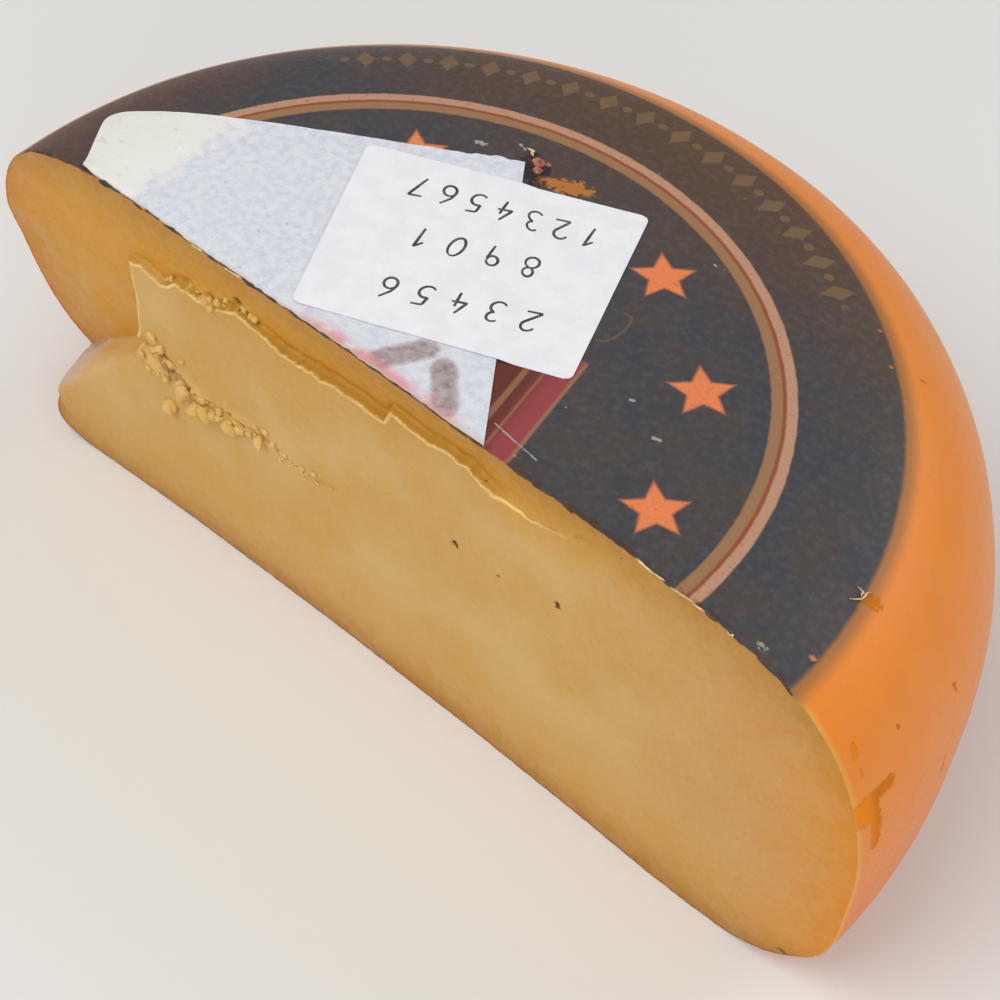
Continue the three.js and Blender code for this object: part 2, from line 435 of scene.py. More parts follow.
@dataclass(frozen=True)
class CutFace:
    """The cut through the wheel: a lower face, and an upper one where a slab broke away.

    Depths are y, so a larger depth lies further back. The tear is a chain of points (x, z)
    that runs along the broken ridge, down the flap's end and along the ledge. The points of
    broken_off close it round the broken side, outside the wheel.
    """

    wheel: Wheel
    lower_edge: Point = (-10.4, -9.8)
    lower_lean: float = 4.9
    foot_bow: Point = (5.0, 1.5)
    upper_edge: Point = (-10.1, -9.2)
    upper_lean: Point = (0.09, 0.19)
    upper_curl: float = 0.00123
    ridge: tuple[Point, ...] = (
        (68, 106), (60, 98.1), (55, 95.8), (51.4, 96.5), (46.6, 92.7), (39.4, 90.7), (26, 91.4),
        (22.8, 94.2), (10.6, 93), (1.3, 93.6), (-0.3, 89.6), (-20, 88.8), (-28.5, 87.5),
        (-35.3, 89.6), (-42.1, 90.9), (-49.6, 86.9), (-60.6, 85.3), (-65.3, 82.6),
        (-71.8, 83.8), (-75.8, 82.4),
    )
    flap_end: tuple[Point, ...] = ((-74.6, 72), (-74.8, 63), (-75.6, 55))
    ledge: tuple[Point, ...] = (
        (-78, 49.5), (-85, 44.5), (-97, 33.0), (-105, 24.6), (-114, 14), (-121, 8),
    )
    ledge_width: Point = (1.4, 4.4)
    widening: float = 55.0
    wall_reach: Point = (0.5, 9.0)
    foot_set_back: tuple[float, float, float] = (0.95, 0.9, 2.4)
    left_end_round: Point = (11.0, 11.0)
    crack: tuple[Point, ...] = (
        (-76, 58), (-73, 54.2), (-64, 52.6), (-52, 53), (-42, 54), (-34.3, 53.6), (-28, 52.4),
        (-20.7, 52), (-14.5, 54.6),
    )
    crack_length: float = 65.0
    broken_off: tuple[Point, ...] = ((-170, 8), (-170, 140), (68, 140))
    eyes: tuple[tuple[float, float, float], ...] = (
        (19.7, 66.0, 1.0), (47.1, 71.1, 0.8), (31.8, 66.5, 0.4), (-42.2, 92.2, 1.2), (-64.9, 53.0, 2.2),
    )

    def tear(self) -> Array:
        """The tear's points, from the right end of the ridge to the outer end of the ledge."""
        return np.array(self.ridge + self.flap_end + self.ledge, float)

    def ledge_start(self) -> float:
        """The station on the tear at which the ledge begins."""
        points = np.array(self.ridge + self.flap_end + self.ledge[:1], float)
        return float(np.linalg.norm(np.diff(points, axis=0), axis=1).sum())

    def left_end(self, x: Array, z: Array) -> Array:
        """How far the cut turns back at the wheel's lower left side, which fades out a reach from it."""
        reach, rise = self.left_end_round
        away = x + np.sqrt(self.wheel.girth(np.clip(z, 9.0, 40.0)) ** 2 - 30.0)
        kept = window(z, (3.0, 14.0), (28.0, 40.0))
        return rise * np.clip(1 - away / reach, 0.0, 1.0) ** 2.2 * kept

    def lower(self, x: Array, z: Array) -> Array:
        """The whole cut's depth.

        Formula: a plane that leans back downwards, bowed and drawn back at its foot, with slow
        knife waves, rounded at the left end.
        """
        share = smoothstep(x, -60.0, 10.0)
        edge = mixed(*self.lower_edge, share)
        bow = np.where(x < 0, *self.foot_bow) * (x / self.wheel.radius) ** 2
        waves = 0.2 * value_noise(x + 0.6 * z, z - 0.3 * x, 31.0, 3)
        middle, left, right = self.foot_set_back
        foot = middle + left * window(-x, (10.0, 70.0), (100.0, 116.0))
        foot = foot + 0.3 * bell(x + 15.0, 25.0) - 0.4 * bell(x - 78.0, 12.0)
        foot = foot + right * np.clip((x - 88.0) / 32.0, 0.0, 1.3) ** 1.8
        waves = waves + foot * np.exp(-z / 5.0) + 2.6 * smoothstep(x, 108.0, 124.0) * bell(z, 17.0)
        return edge + (self.lower_lean - bow) * (1 - z / self.wheel.height) + waves + self.left_end(x, z)

    def upper(self, x: Array, z: Array) -> Array:
        """The broken part's depth: a face that curls back the further down it goes."""
        share = smoothstep(x, -60.0, 10.0)
        down = self.wheel.height - z
        lean, edge = mixed(*self.upper_lean, share), mixed(*self.upper_edge, share)
        waves = 0.2 * value_noise(x, z, 17.0, 5) * smoothstep(down, 0.0, 12.0)
        end = 1.4 * smoothstep(-x, 96.0, 112.0) * smoothstep(down, 36.0, 52.0)
        return edge + lean * down + self.upper_curl * down ** 2 + waves + end

    def stray(self, station: Array) -> Array:
        """How far the torn edge strays from its chain: less at the flap's end, and not on the ledge."""
        flat = 0 * station
        noise = 0.5 * value_noise(station, flat, 3.4, 13) + 0.26 * value_noise(station, flat, 1.3, 14)
        start = self.ledge_start()
        calmer = 1 - 0.7 * smoothstep(station, start - 34.0, start - 30.0)
        return noise * calmer * (1 - self.on_ledge(station))

    def side_of_tear(self, x: Array, z: Array) -> tuple[Array, Array, Array, Array]:
        """How places lie to the tear.

        Returns:
            The distance, positive on the broken side, the direction (x, z) in which it grows,
            and the nearest point's station.
        """
        chain = self.tear()
        distance, foot_x, foot_z, station = to_chain(x, z, chain)
        broken = within(x, z, np.concatenate([chain, np.array(self.broken_off, float)]))
        sign = np.where(broken, 1.0, -1.0)
        safe = np.maximum(distance, 1e-9)
        side = sign * distance - self.stray(station)
        return side, sign * (x - foot_x) / safe, sign * (z - foot_z) / safe, station

    def softness(self, x: Array) -> Array:
        """0 where the torn wall is crisp, and 1 at the ridge's right end, where it fades out."""
        return smoothstep(x, 25.0, 42.0)

    def wall_at(self, x: Array) -> tuple[Array, Array]:
        """Half the torn wall's width, and the power by which vertices crowd at it."""
        return mixed(*self.wall_reach, self.softness(x)), 2.2 - 1.2 * self.softness(x)

    def width_of_ledge(self, station: Array) -> Array:
        """The ledge's width in the picture of the cut, which grows outwards."""
        return mixed(*self.ledge_width, np.clip((station - self.ledge_start()) / self.widening, 0.0, 1.0))

    def on_ledge(self, station: Array) -> Array:
        """1 along the ledge and 0 along the ridge and the flap's end."""
        start = self.ledge_start()
        return smoothstep(station, start - 4.0, start + 2.0)

    @staticmethod
    def crowded(s: Array, b: Array, power: Array) -> Array:
        """Distances s to the tear, of which those within b become b (|s| / b) ^ power."""
        return np.where(np.abs(s) < b, b * np.sign(s) * (np.abs(s) / b) ** power, s)

    def gathered(self, x: Array, z: Array) -> tuple[Array, Array]:
        """Moves the vertices of an even grid together where the surface is steep.

        Formula: at the ridge the distances are crowded, which stands a crisp wall upright. On
        the ledge a share t of its width becomes 1 - cos(90 t), equal steps of a quarter ellipse.

        Returns:
            The new x and z.
        """
        s, grow_x, grow_z, station = self.side_of_tear(x, z)
        wall = self.crowded(s, *self.wall_at(x))
        width = self.width_of_ledge(station)
        t = np.clip(-s / width, 0.0, 1.0)
        ledge = np.where((s < 0) & (t < 1), -width * (1 - np.cos(t * math.pi / 2)), s)
        move = mixed(wall, ledge, self.on_ledge(station)) - s
        return x + move * grow_x, z + move * grow_z

    def cracked(self, x: Array, z: Array) -> tuple[Array, Array, Array]:
        """How places lie to the crack.

        Returns:
            The distance to it, how wide open it is, from 1 down to 0 at its right end, and how
            much rubble lies there.
        """
        distance, _, _, station = to_chain(x, z, np.array(self.crack, float))
        distance = np.abs(distance - 0.35 * value_noise(station, 0 * station, 1.6, 16))
        gape = np.clip(1.1 - station / self.crack_length, 0.0, 1.0)
        return distance, gape, bell(distance, 0.9 + 1.9 * gape) * smoothstep(gape, 0.25, 0.7)

    @staticmethod
    def chip(x: Array, z: Array) -> Array:
        """The distance from the middle of the chip at the crack's left end, 1 at its rim."""
        return np.hypot((x + 70.5) / 6.0, (z - 56.0) / 5.2)

    def depth(self, x: Array, z: Array) -> Array:
        """The depth of the cut's surface.

        Formula: the lower and the upper face are joined across the tear, by a soft step of the
        distance at the wall and by a quarter ellipse over the ledge. A slot is sunk behind the
        ridge, the flap's rim stands a little proud, and the chip, the crack and the eyes are
        sunk as bumps turned inwards.

        Args:
            x, z: places on the cut, in flat arrays.

        Returns:
            The depth y of each.
        """
        s, _, _, station = self.side_of_tear(x, z)
        low = self.lower(x, z)
        high = np.maximum(self.upper(x, z), low)
        b, power = self.wall_at(x)
        wall = mixed(low, high, smoothstep(self.crowded(s, b, 1 / power), -b, b))
        t = np.clip(-s / self.width_of_ledge(station), 0.0, 1.0)
        ledge = mixed(high, low, np.sqrt(1 - (1 - t) ** 2))
        on_ledge = self.on_ledge(station)
        y = mixed(wall, np.where(s > 0, high, ledge), on_ledge)
        y = y + 2.4 * bell(x + 115.5, 6.0) * bell(z - 14.5, 5.0) * smoothstep(-s, 0.0, 2.4)
        off_ledge = 1 - on_ledge
        ragged = 0.5 + 0.5 * value_noise(x, z, 1.7, 11)
        open_ridge = window(x, (-68.0, -60.0), (22.0, 38.0)) * off_ledge
        slot = window(s, (0.0, 0.25), (0.9, 2.4))
        y = y + open_ridge * slot * (0.1 + 0.25 * ragged)
        rim = bell(s + 0.3, 0.3) * (0.02 + 0.14 * ragged) * (1 - self.softness(x))
        y = y - rim * off_ledge * smoothstep(x, -80.0, -76.0)
        torn = bell(x + 52.0, 9.0) * window(s, (-0.9, 0.0), (2.0, 3.6)) * off_ledge
        y = y - torn * (0.2 + 0.6 * value_noise(x, z, 2.2, 12) + 0.2 * value_noise(x, z, 1.1, 17))
        flakes = bell(x - 45.0, 13.0) * bell(s + 0.3, 1.3)
        y = y - flakes * (0.4 * value_noise(x, z - 0.4 * x, 2.1, 18) + 0.2 * value_noise(x, z, 1.0, 23))
        chip = 1 - smoothstep(self.chip(x, z), 0.62, 1.0)
        y = y + 1.7 * chip * np.clip((-62.0 - x) / 12.0, 0.25, 1.0) * (s < 0)
        distance, gape, rubble = self.cracked(x, z)
        y = y + 1.9 * gape * bell(distance, 0.3 + 0.6 * gape) * (0.5 + 0.5 * ragged)
        lumps = np.abs(value_noise(x, z, 2.8, 19)) + 0.25 * np.maximum(value_noise(x, z, 1.2, 20), 0.0)
        y = y - 1.7 * rubble * lumps
        for eye_x, eye_z, radius in self.eyes:
            away = np.hypot(x - eye_x, (z - eye_z) * 0.8)
            y = y + 1.6 * radius * bell(away, radius * 0.7)
        return y + 0.05 * value_noise(x, z, 2.3, 21) + 0.025 * value_noise(x, z, 1.1, 22)

    def rim_depth(self, x: Array, below: float) -> Array:
        """The y of the cut's surface a little below the wheel's top, settled by repeating."""
        y = np.full(len(x), CUT_DEPTH)
        for _ in range(RIM_ROUNDS):
            y = self.depth(x, self.wheel.top_at(x, y) - below)
        return y

    def side_x(self, z: Array, side: Side, inset: float = 0.0) -> Array:
        """Where the cut meets the wheel's side at given heights.

        Formula: x is plus or minus the root of girth squared less depth squared, and the depth
        is taken again at that x until it settles.
        """
        girth = self.wheel.girth(z, inset)
        x = side.value * np.sqrt(girth ** 2 - CUT_DEPTH ** 2)
        for _ in range(SIDE_ROUNDS):
            x = side.value * np.sqrt(np.maximum(girth ** 2 - self.depth(x, z) ** 2, 1.0))
        return x

    def outline(self, inset: float, step: float) -> Array:
        """The cut's outline as a closed loop (x, z): along the foot to the right, up, back and down.

        Args:
            inset: how far inside the wheel's surface it lies.
            step: the spacing of its points.

        Returns:
            The points, one row each, at equal steps, the last one next to the first.
        """
        z = self.wheel.profile(inset)[1]
        right = np.stack([self.side_x(z, Side.RIGHT, inset), z], axis=1)
        left = np.stack([self.side_x(z, Side.LEFT, inset), z], axis=1)
        loop = np.concatenate([left[:1], right, left[::-1]])
        length = np.linalg.norm(np.diff(loop, axis=0), axis=1).sum()
        return resampled(loop, int(length / step))[:-1]


@dataclass
class Wiring:
    """Adds nodes to one tree. Every argument may be a number, a vector, a colour or a socket."""

    tree: bpy.types.NodeTree

    def add(self, kind: str, inputs: dict, output: int | str = 0, **settings) -> Socket:
        """Adds a node.

        Args:
            kind: the node's Blender type.
            inputs: what goes into its sockets, by name or number.
            output: which of its outputs is wanted.
            settings: the node's own properties.

        Returns:
            That output.
        """
        node = self.tree.nodes.new(kind)
        for name, value in settings.items():
            setattr(node, name, value)
        for key, value in inputs.items():
            self.feed(node.inputs[key], value)
        return node.outputs[output]

    def feed(self, socket: Socket, value: object) -> None:
        """Links a socket into another, or sets it."""
        if isinstance(value, bpy.types.NodeSocket):
            self.tree.links.new(value, socket)
        else:
            socket.default_value = value

    def math(self, operation: str, a: object, b: object = 0.0, c: object = 0.0) -> Socket:
        """One step of arithmetic."""
        return self.add("ShaderNodeMath", {0: a, 1: b, 2: c}, operation=operation)

    def product(self, *factors: object) -> Socket:
        """The product of several numbers."""
        made = factors[0]
        for factor in factors[1:]:
            made = self.math("MULTIPLY", made, factor)
        return made

    def most(self, *values: object) -> Socket:
        """The largest of several numbers."""
        made = values[0]
        for value in values[1:]:
            made = self.math("MAXIMUM", made, value)
        return made

    def vector(self, operation: str, a: object, b: object = (0, 0, 0), output: str = "Vector") -> Socket:
        """One step of vector arithmetic."""
        return self.add("ShaderNodeVectorMath", {0: a, 1: b}, output, operation=operation)

    def scaled(self, a: object, factor: object) -> Socket:
        """A vector times a number."""
        return self.add("ShaderNodeVectorMath", {0: a, "Scale": factor}, operation="SCALE")

    def step(self, value: object, low: float, high: float) -> Socket:
        """A soft step from 0 at low to 1 at high, or from 1 to 0 where high is below low."""
        inputs = {"Value": value, "From Min": low, "From Max": high}
        return self.add("ShaderNodeMapRange", inputs, interpolation_type="SMOOTHSTEP")

    def band(self, value: object, low: float, high: float, soft: float) -> Socket:
        """1 between low and high, with soft ends."""
        rise = self.step(value, low - soft, low + soft)
        return self.product(rise, self.step(value, high + soft, high - soft))

    def mix(self, share: object, a: object, b: object) -> Socket:
        """Colour a where share is 0 and colour b where it is 1."""
        return self.add("ShaderNodeMix", {0: share, 6: a, 7: b}, 2, data_type="RGBA")

    def over(self, colour: object, tint: object, *factors: object) -> Socket:
        """A colour with a tint laid over it, as thick as the product of the factors."""
        return self.mix(self.product(*factors), colour, tint)

    def length(self, a: object) -> Socket:
        """The length of a vector."""
        return self.vector("LENGTH", a, output="Value")

    def parts(self, a: object) -> tuple[Socket, Socket, Socket]:
        """The x, y and z of a vector."""
        first = self.add("ShaderNodeSeparateXYZ", {0: a})
        return tuple(first.node.outputs)

    def vertex_mark(self, name: str) -> Socket:
        """A named value at the vertices of the mesh."""
        return self.add("ShaderNodeAttribute", {}, "Fac", attribute_name=name)

    def group(self, tree: bpy.types.NodeTree, inputs: dict) -> Socket:
        """A node group with its own values, and its first output."""
        return self.add("ShaderNodeGroup", inputs, node_tree=tree)


def srgb(red: float, green: float, blue: float) -> tuple[float, float, float, float]:
    """A colour given as 0 to 255 on a screen, as the linear light that shaders take."""
    screen = np.array([red, green, blue]) / 255.0
    linear = np.where(screen <= 0.04045, screen / 12.92, ((screen + 0.055) / 1.055) ** 2.4)
    return (*linear.tolist(), 1.0)


class Effects:
    """The node groups that several finishes share, each built once."""

    def __init__(self, axis_y: float) -> None:
        """Builds the groups. axis_y is the wheel axis's place in the row frame, in millimetres."""
        self.place = self._place(axis_y)
        self.mottle = self._mottle()
        self.specks = self._specks()
        self.streak = self._streak()

    @staticmethod
    def _new(name: str, vectors: str, numbers: str, output: str, kind: str) -> tuple[Wiring, dict, Socket]:
        """An empty node group.

        Args:
            name: the group's name.
            vectors, numbers: the names of its inputs of each kind, with spaces between them.
            output: the name of its output.
            kind: the kind of its output.

        Returns:
            Its wiring, its inputs by name, and its output.
        """
        tree = bpy.data.node_groups.new(name, "ShaderNodeTree")
        inputs = dict.fromkeys(vectors.split(), VECTOR) | dict.fromkeys(numbers.split(), NUMBER)
        for label, socket in inputs.items():
            tree.interface.new_socket(label, in_out="INPUT", socket_type=socket)
        tree.interface.new_socket(output, in_out="OUTPUT", socket_type=kind)
        entry, leave = tree.nodes.new("NodeGroupInput"), tree.nodes.new("NodeGroupOutput")
        return Wiring(tree), entry.outputs, leave.inputs[output]

    @staticmethod
    def _in_sizes(net: Wiring, given: dict) -> Socket:
        """The place, measured in sizes instead of millimetres."""
        size = net.add("ShaderNodeCombineXYZ", {axis: given["Size"] for axis in range(3)})
        return net.vector("DIVIDE", given["Place"], size)

    def _place(self, axis_y: float) -> bpy.types.NodeTree:
        """Object coordinates as wheel millimetres."""
        net, given, made = self._new("wheel place", "Coordinate", "", "Place", VECTOR)
        scaled = net.scaled(given["Coordinate"], 1 / MM)
        net.feed(made, net.vector("SUBTRACT", scaled, (0.0, axis_y, 0.0)))
        return net.tree

    def _mottle(self) -> bpy.types.NodeTree:
        """Soft uneven patches, from 0 to 1, of a given size in millimetres."""
        net, given, made = self._new("mottle", "Place", "Size Detail Low High", "Mask", NUMBER)
        place = self._in_sizes(net, given)
        noise = net.add("ShaderNodeTexNoise", {"Vector": place, "Scale": 1.0, "Detail": given["Detail"]})
        net.feed(made, net.step(noise, given["Low"], given["High"]))
        return net.tree

    def _specks(self) -> bpy.types.NodeTree:
        """Small spots: one in some of the cells, whose width is the size in millimetres."""
        net, given, made = self._new("specks", "Place", "Size Spot Share", "Mask", NUMBER)
        place = self._in_sizes(net, given)
        cells = net.add("ShaderNodeTexVoronoi", {"Vector": place, "Scale": 1.0}, "Distance").node
        draw = net.parts(cells.outputs["Color"])
        spot = net.product(given["Spot"], net.math("ADD", draw[1], 0.4))
        inside = net.step(net.math("DIVIDE", cells.outputs["Distance"], spot), 1.0, 0.5)
        chosen = net.math("LESS_THAN", draw[0], given["Share"])
        net.feed(made, net.product(inside, chosen))
        return net.tree

    def _streak(self) -> bpy.types.NodeTree:
        """A stroke round the straight line between two points, as ragged as the shake given."""
        net, given, made = self._new("streak", "Place From To", "Width Ragged Shake", "Mask", NUMBER)
        along = net.vector("SUBTRACT", given["To"], given["From"])
        reach = net.vector("SUBTRACT", given["Place"], given["From"])
        length = net.vector("DOT_PRODUCT", along, along, "Value")
        share = net.math("DIVIDE", net.vector("DOT_PRODUCT", reach, along, "Value"), length)
        share = net.math("MINIMUM", net.math("MAXIMUM", share, 0.0), 1.0)
        away = net.length(net.vector("SUBTRACT", reach, net.scaled(along, share)))
        shake = net.product(net.math("SUBTRACT", given["Shake"], 0.5), given["Ragged"])
        ratio = net.math("DIVIDE", net.math("ADD", away, shake), given["Width"])
        net.feed(made, net.step(ratio, 1.0, 0.55))
        return net.tree


@dataclass
class Surface(Wiring):
    """The wiring of one material, which knows where a point of the surface is, in wheel millimetres."""

    material: bpy.types.Material
    effects: Effects
    place: Socket

    def mottled(self, size: float, low: float = 0.35, high: float = 0.65, detail: float = 3.0,
                place: Socket | None = None) -> Socket:
        """Uneven patches of a size in millimetres, at the surface's own place or at the one given."""
        return self.group(self.effects.mottle, {
            "Place": self.place if place is None else place, "Size": size, "Detail": detail,
            "Low": low, "High": high,
        })

    def specked(self, size: float, spot: float, share: float) -> Socket:
        """Spots in cells of a size in millimetres."""
        inputs = {"Place": self.place, "Size": size, "Spot": spot, "Share": share}
        return self.group(self.effects.specks, inputs)

    def streaked(self, shake: Socket, rows: tuple[tuple[tuple, tuple, float, float], ...],
                 place: Socket | None = None) -> Socket:
        """Several ragged strokes: for each its two ends, its width and how ragged it is."""
        place = self.place if place is None else place
        return self.most(*[
            self.group(self.effects.streak, {"Place": place, "From": start, "To": end, "Width": width,
                                             "Ragged": ragged, "Shake": shake})
            for start, end, width, ragged in rows
        ])

    def closed(self, inputs: dict, height: Socket | None = None, depth: float = 0.1) -> bpy.types.Material:
        """Ends the material with the Principled shader.

        Args:
            inputs: what goes into the shader's sockets.
            height: the relief, from 0 to 1, or None.
            depth: how deep a relief of 1 is, in millimetres.

        Returns:
            The material.
        """
        if height is not None:
            bump = {"Strength": 1.0, "Distance": depth * MM, "Height": height}
            inputs = {**inputs, "Normal": self.add("ShaderNodeBump", bump)}
        shader = self.add("ShaderNodeBsdfPrincipled", inputs)
        self.feed(self.tree.nodes.new("ShaderNodeOutputMaterial").inputs["Surface"], shader)
        return self.material


@dataclass(frozen=True)
class Finish:
    """What every finish has: the shared effects and a way to start a material."""

    effects: Effects

    def begin(self, name: str) -> Surface:
        """The wiring of a new empty material."""
        material = bpy.data.materials.new(name)
        material.use_nodes = True
        net = Wiring(material.node_tree)
        net.tree.nodes.clear()
        place = net.group(self.effects.place, {0: net.add("ShaderNodeTexCoord", {}, "Object")})
        return Surface(material.node_tree, material, self.effects, place)


@dataclass(frozen=True)
class PasteFinish(Finish):
    """The bare cheese: pale and matt in the middle, amber and clearer towards the rind."""

    core: tuple = srgb(214, 176, 112)
    middle: tuple = srgb(208, 162, 84)
    rind: tuple = srgb(222, 134, 8)
    upper: tuple = srgb(214, 151, 46)
    # The broken cheese's darker golden, deepened as painted shade of the crevice behind the flap's rim.
    torn: tuple = srgb(176, 126, 24)
    # A painted highlight: the pale line where the flap's torn top edge catches the light.
    lip: tuple = srgb(246, 214, 146)
    brow: tuple = srgb(186, 130, 50)
    # Pale broken cheese and crumbs; on the flap's edge it also carries the painted highlight.
    rim: tuple = srgb(230, 192, 118)
    # Painted shade: dark in the eyes, the pits and the crack, where light does not reach.
    pit: tuple = srgb(92, 52, 12)
    crease: tuple = srgb(138, 88, 32)
    foot: tuple = srgb(178, 118, 34)
    # Painted shade on the ledge's top at the far left.
    greyed: tuple = srgb(206, 182, 162)
    rosy: tuple = srgb(206, 150, 92)
    # The eyes' outlines, painted dark as shade inside them.
    holes: tuple = (
        ((19.8, 0.0, 66.0), (20.1, 0.0, 65.8), 0.95, 0.5),
        ((47.1, 0.0, 71.2), (47.3, 0.0, 70.6), 0.8, 0.5),
        ((31.8, 0.0, 66.5), (32.0, 0.0, 66.3), 0.4, 0.3),
        ((113.0, 0.0, 10.9), (114.6, 0.0, 10.3), 0.5, 0.4),
        ((-42.6, 0.0, 92.8), (-41.6, 0.0, 91.6), 0.8, 0.9),
    )
    # Strokes of painted shade in the crack's dark clefts.
    creases: tuple = (
        ((-47.4, 0.0, 54.5), (-42.3, 0.0, 53.9), 0.7, 0.7),
        ((-38.2, 0.0, 57.0), (-36.4, 0.0, 55.2), 0.6, 0.6),
        ((-68.1, 0.0, 56.9), (-64.9, 0.0, 54.9), 1.3, 1.0),
        ((-61.6, 0.0, 55.6), (-59.0, 0.0, 54.0), 0.6, 0.6),
        ((-56.0, 0.0, 51.2), (-51.6, 0.0, 52.0), 0.6, 0.8),
    )

    def make(self) -> bpy.types.Material:
        """Builds the material from the marks that the paste's mesh carries."""
        net = self.begin("gouda paste")
        x, _, z = net.parts(net.place)
        edge = net.vertex_mark("near_rind")
        broad = net.mottled(26.0)
        patchy = net.mottled(7.0)
        fine = net.mottled(1.6, 0.3, 0.7, 4.0)
        colour = net.mix(broad, self.core, self.middle)
        colour = net.over(colour, self.rosy, net.step(x, 40.0, 100.0), 0.6)
        colour = net.over(colour, self.middle, net.step(z, 45.0, 4.0), 0.75)
        colour = net.over(colour, self.upper, net.vertex_mark("upper"))
        rind = net.mix(net.step(z, 24.0, 3.0), self.rind, self.foot)
        leftwards = net.product(net.step(x, -40.0, -90.0), 0.5)
        rind = net.over(rind, self.brow, net.most(net.step(z, 66.0, 96.0), leftwards))
        colour = net.over(colour, rind, edge, net.math("MULTIPLY_ADD", patchy, 0.15, 0.8))
        colour = net.over(colour, self.rim, fine, 0.12)
        # These tints are partly painted light: shade behind the flap's rim, on the ledge and in the pits,
        # and a highlight on the flap's edge.
        for mark, tint, share in (
            ("torn", self.torn, 0.9), ("rim", self.rim, 0.85), ("lip", self.lip, 0.8),
            ("greyed", self.greyed, 0.85), ("pit", self.pit, 0.8),
        ):
            colour = net.over(colour, tint, net.vertex_mark(mark), share)
        facing = net.vector("MULTIPLY", net.place, (1, 0, 1))
        shake = net.mottled(0.9, 0.3, 0.7)
        # Painted shade in the crack and inside the eyes.
        colour = net.over(colour, self.crease, net.streaked(shake, self.creases, facing), 0.6)
        holes = net.streaked(shake, self.holes, facing)
        colour = net.over(colour, self.pit, holes, 0.8)
        height = net.math("ADD", net.product(fine, 0.5), net.product(patchy, 0.5))
        height = net.math("SUBTRACT", height, net.product(holes, 1.5))
        roughness = net.math("ADD", 0.42, net.product(patchy, 0.16))
        return net.closed({
            "Base Color": colour, "Roughness": roughness, "Subsurface Weight": 0.2,
            "Subsurface Radius": (1.0, 0.5, 0.16), "Subsurface Scale": 0.0025,
            "Specular IOR Level": 0.2,
        }, height, 0.12)


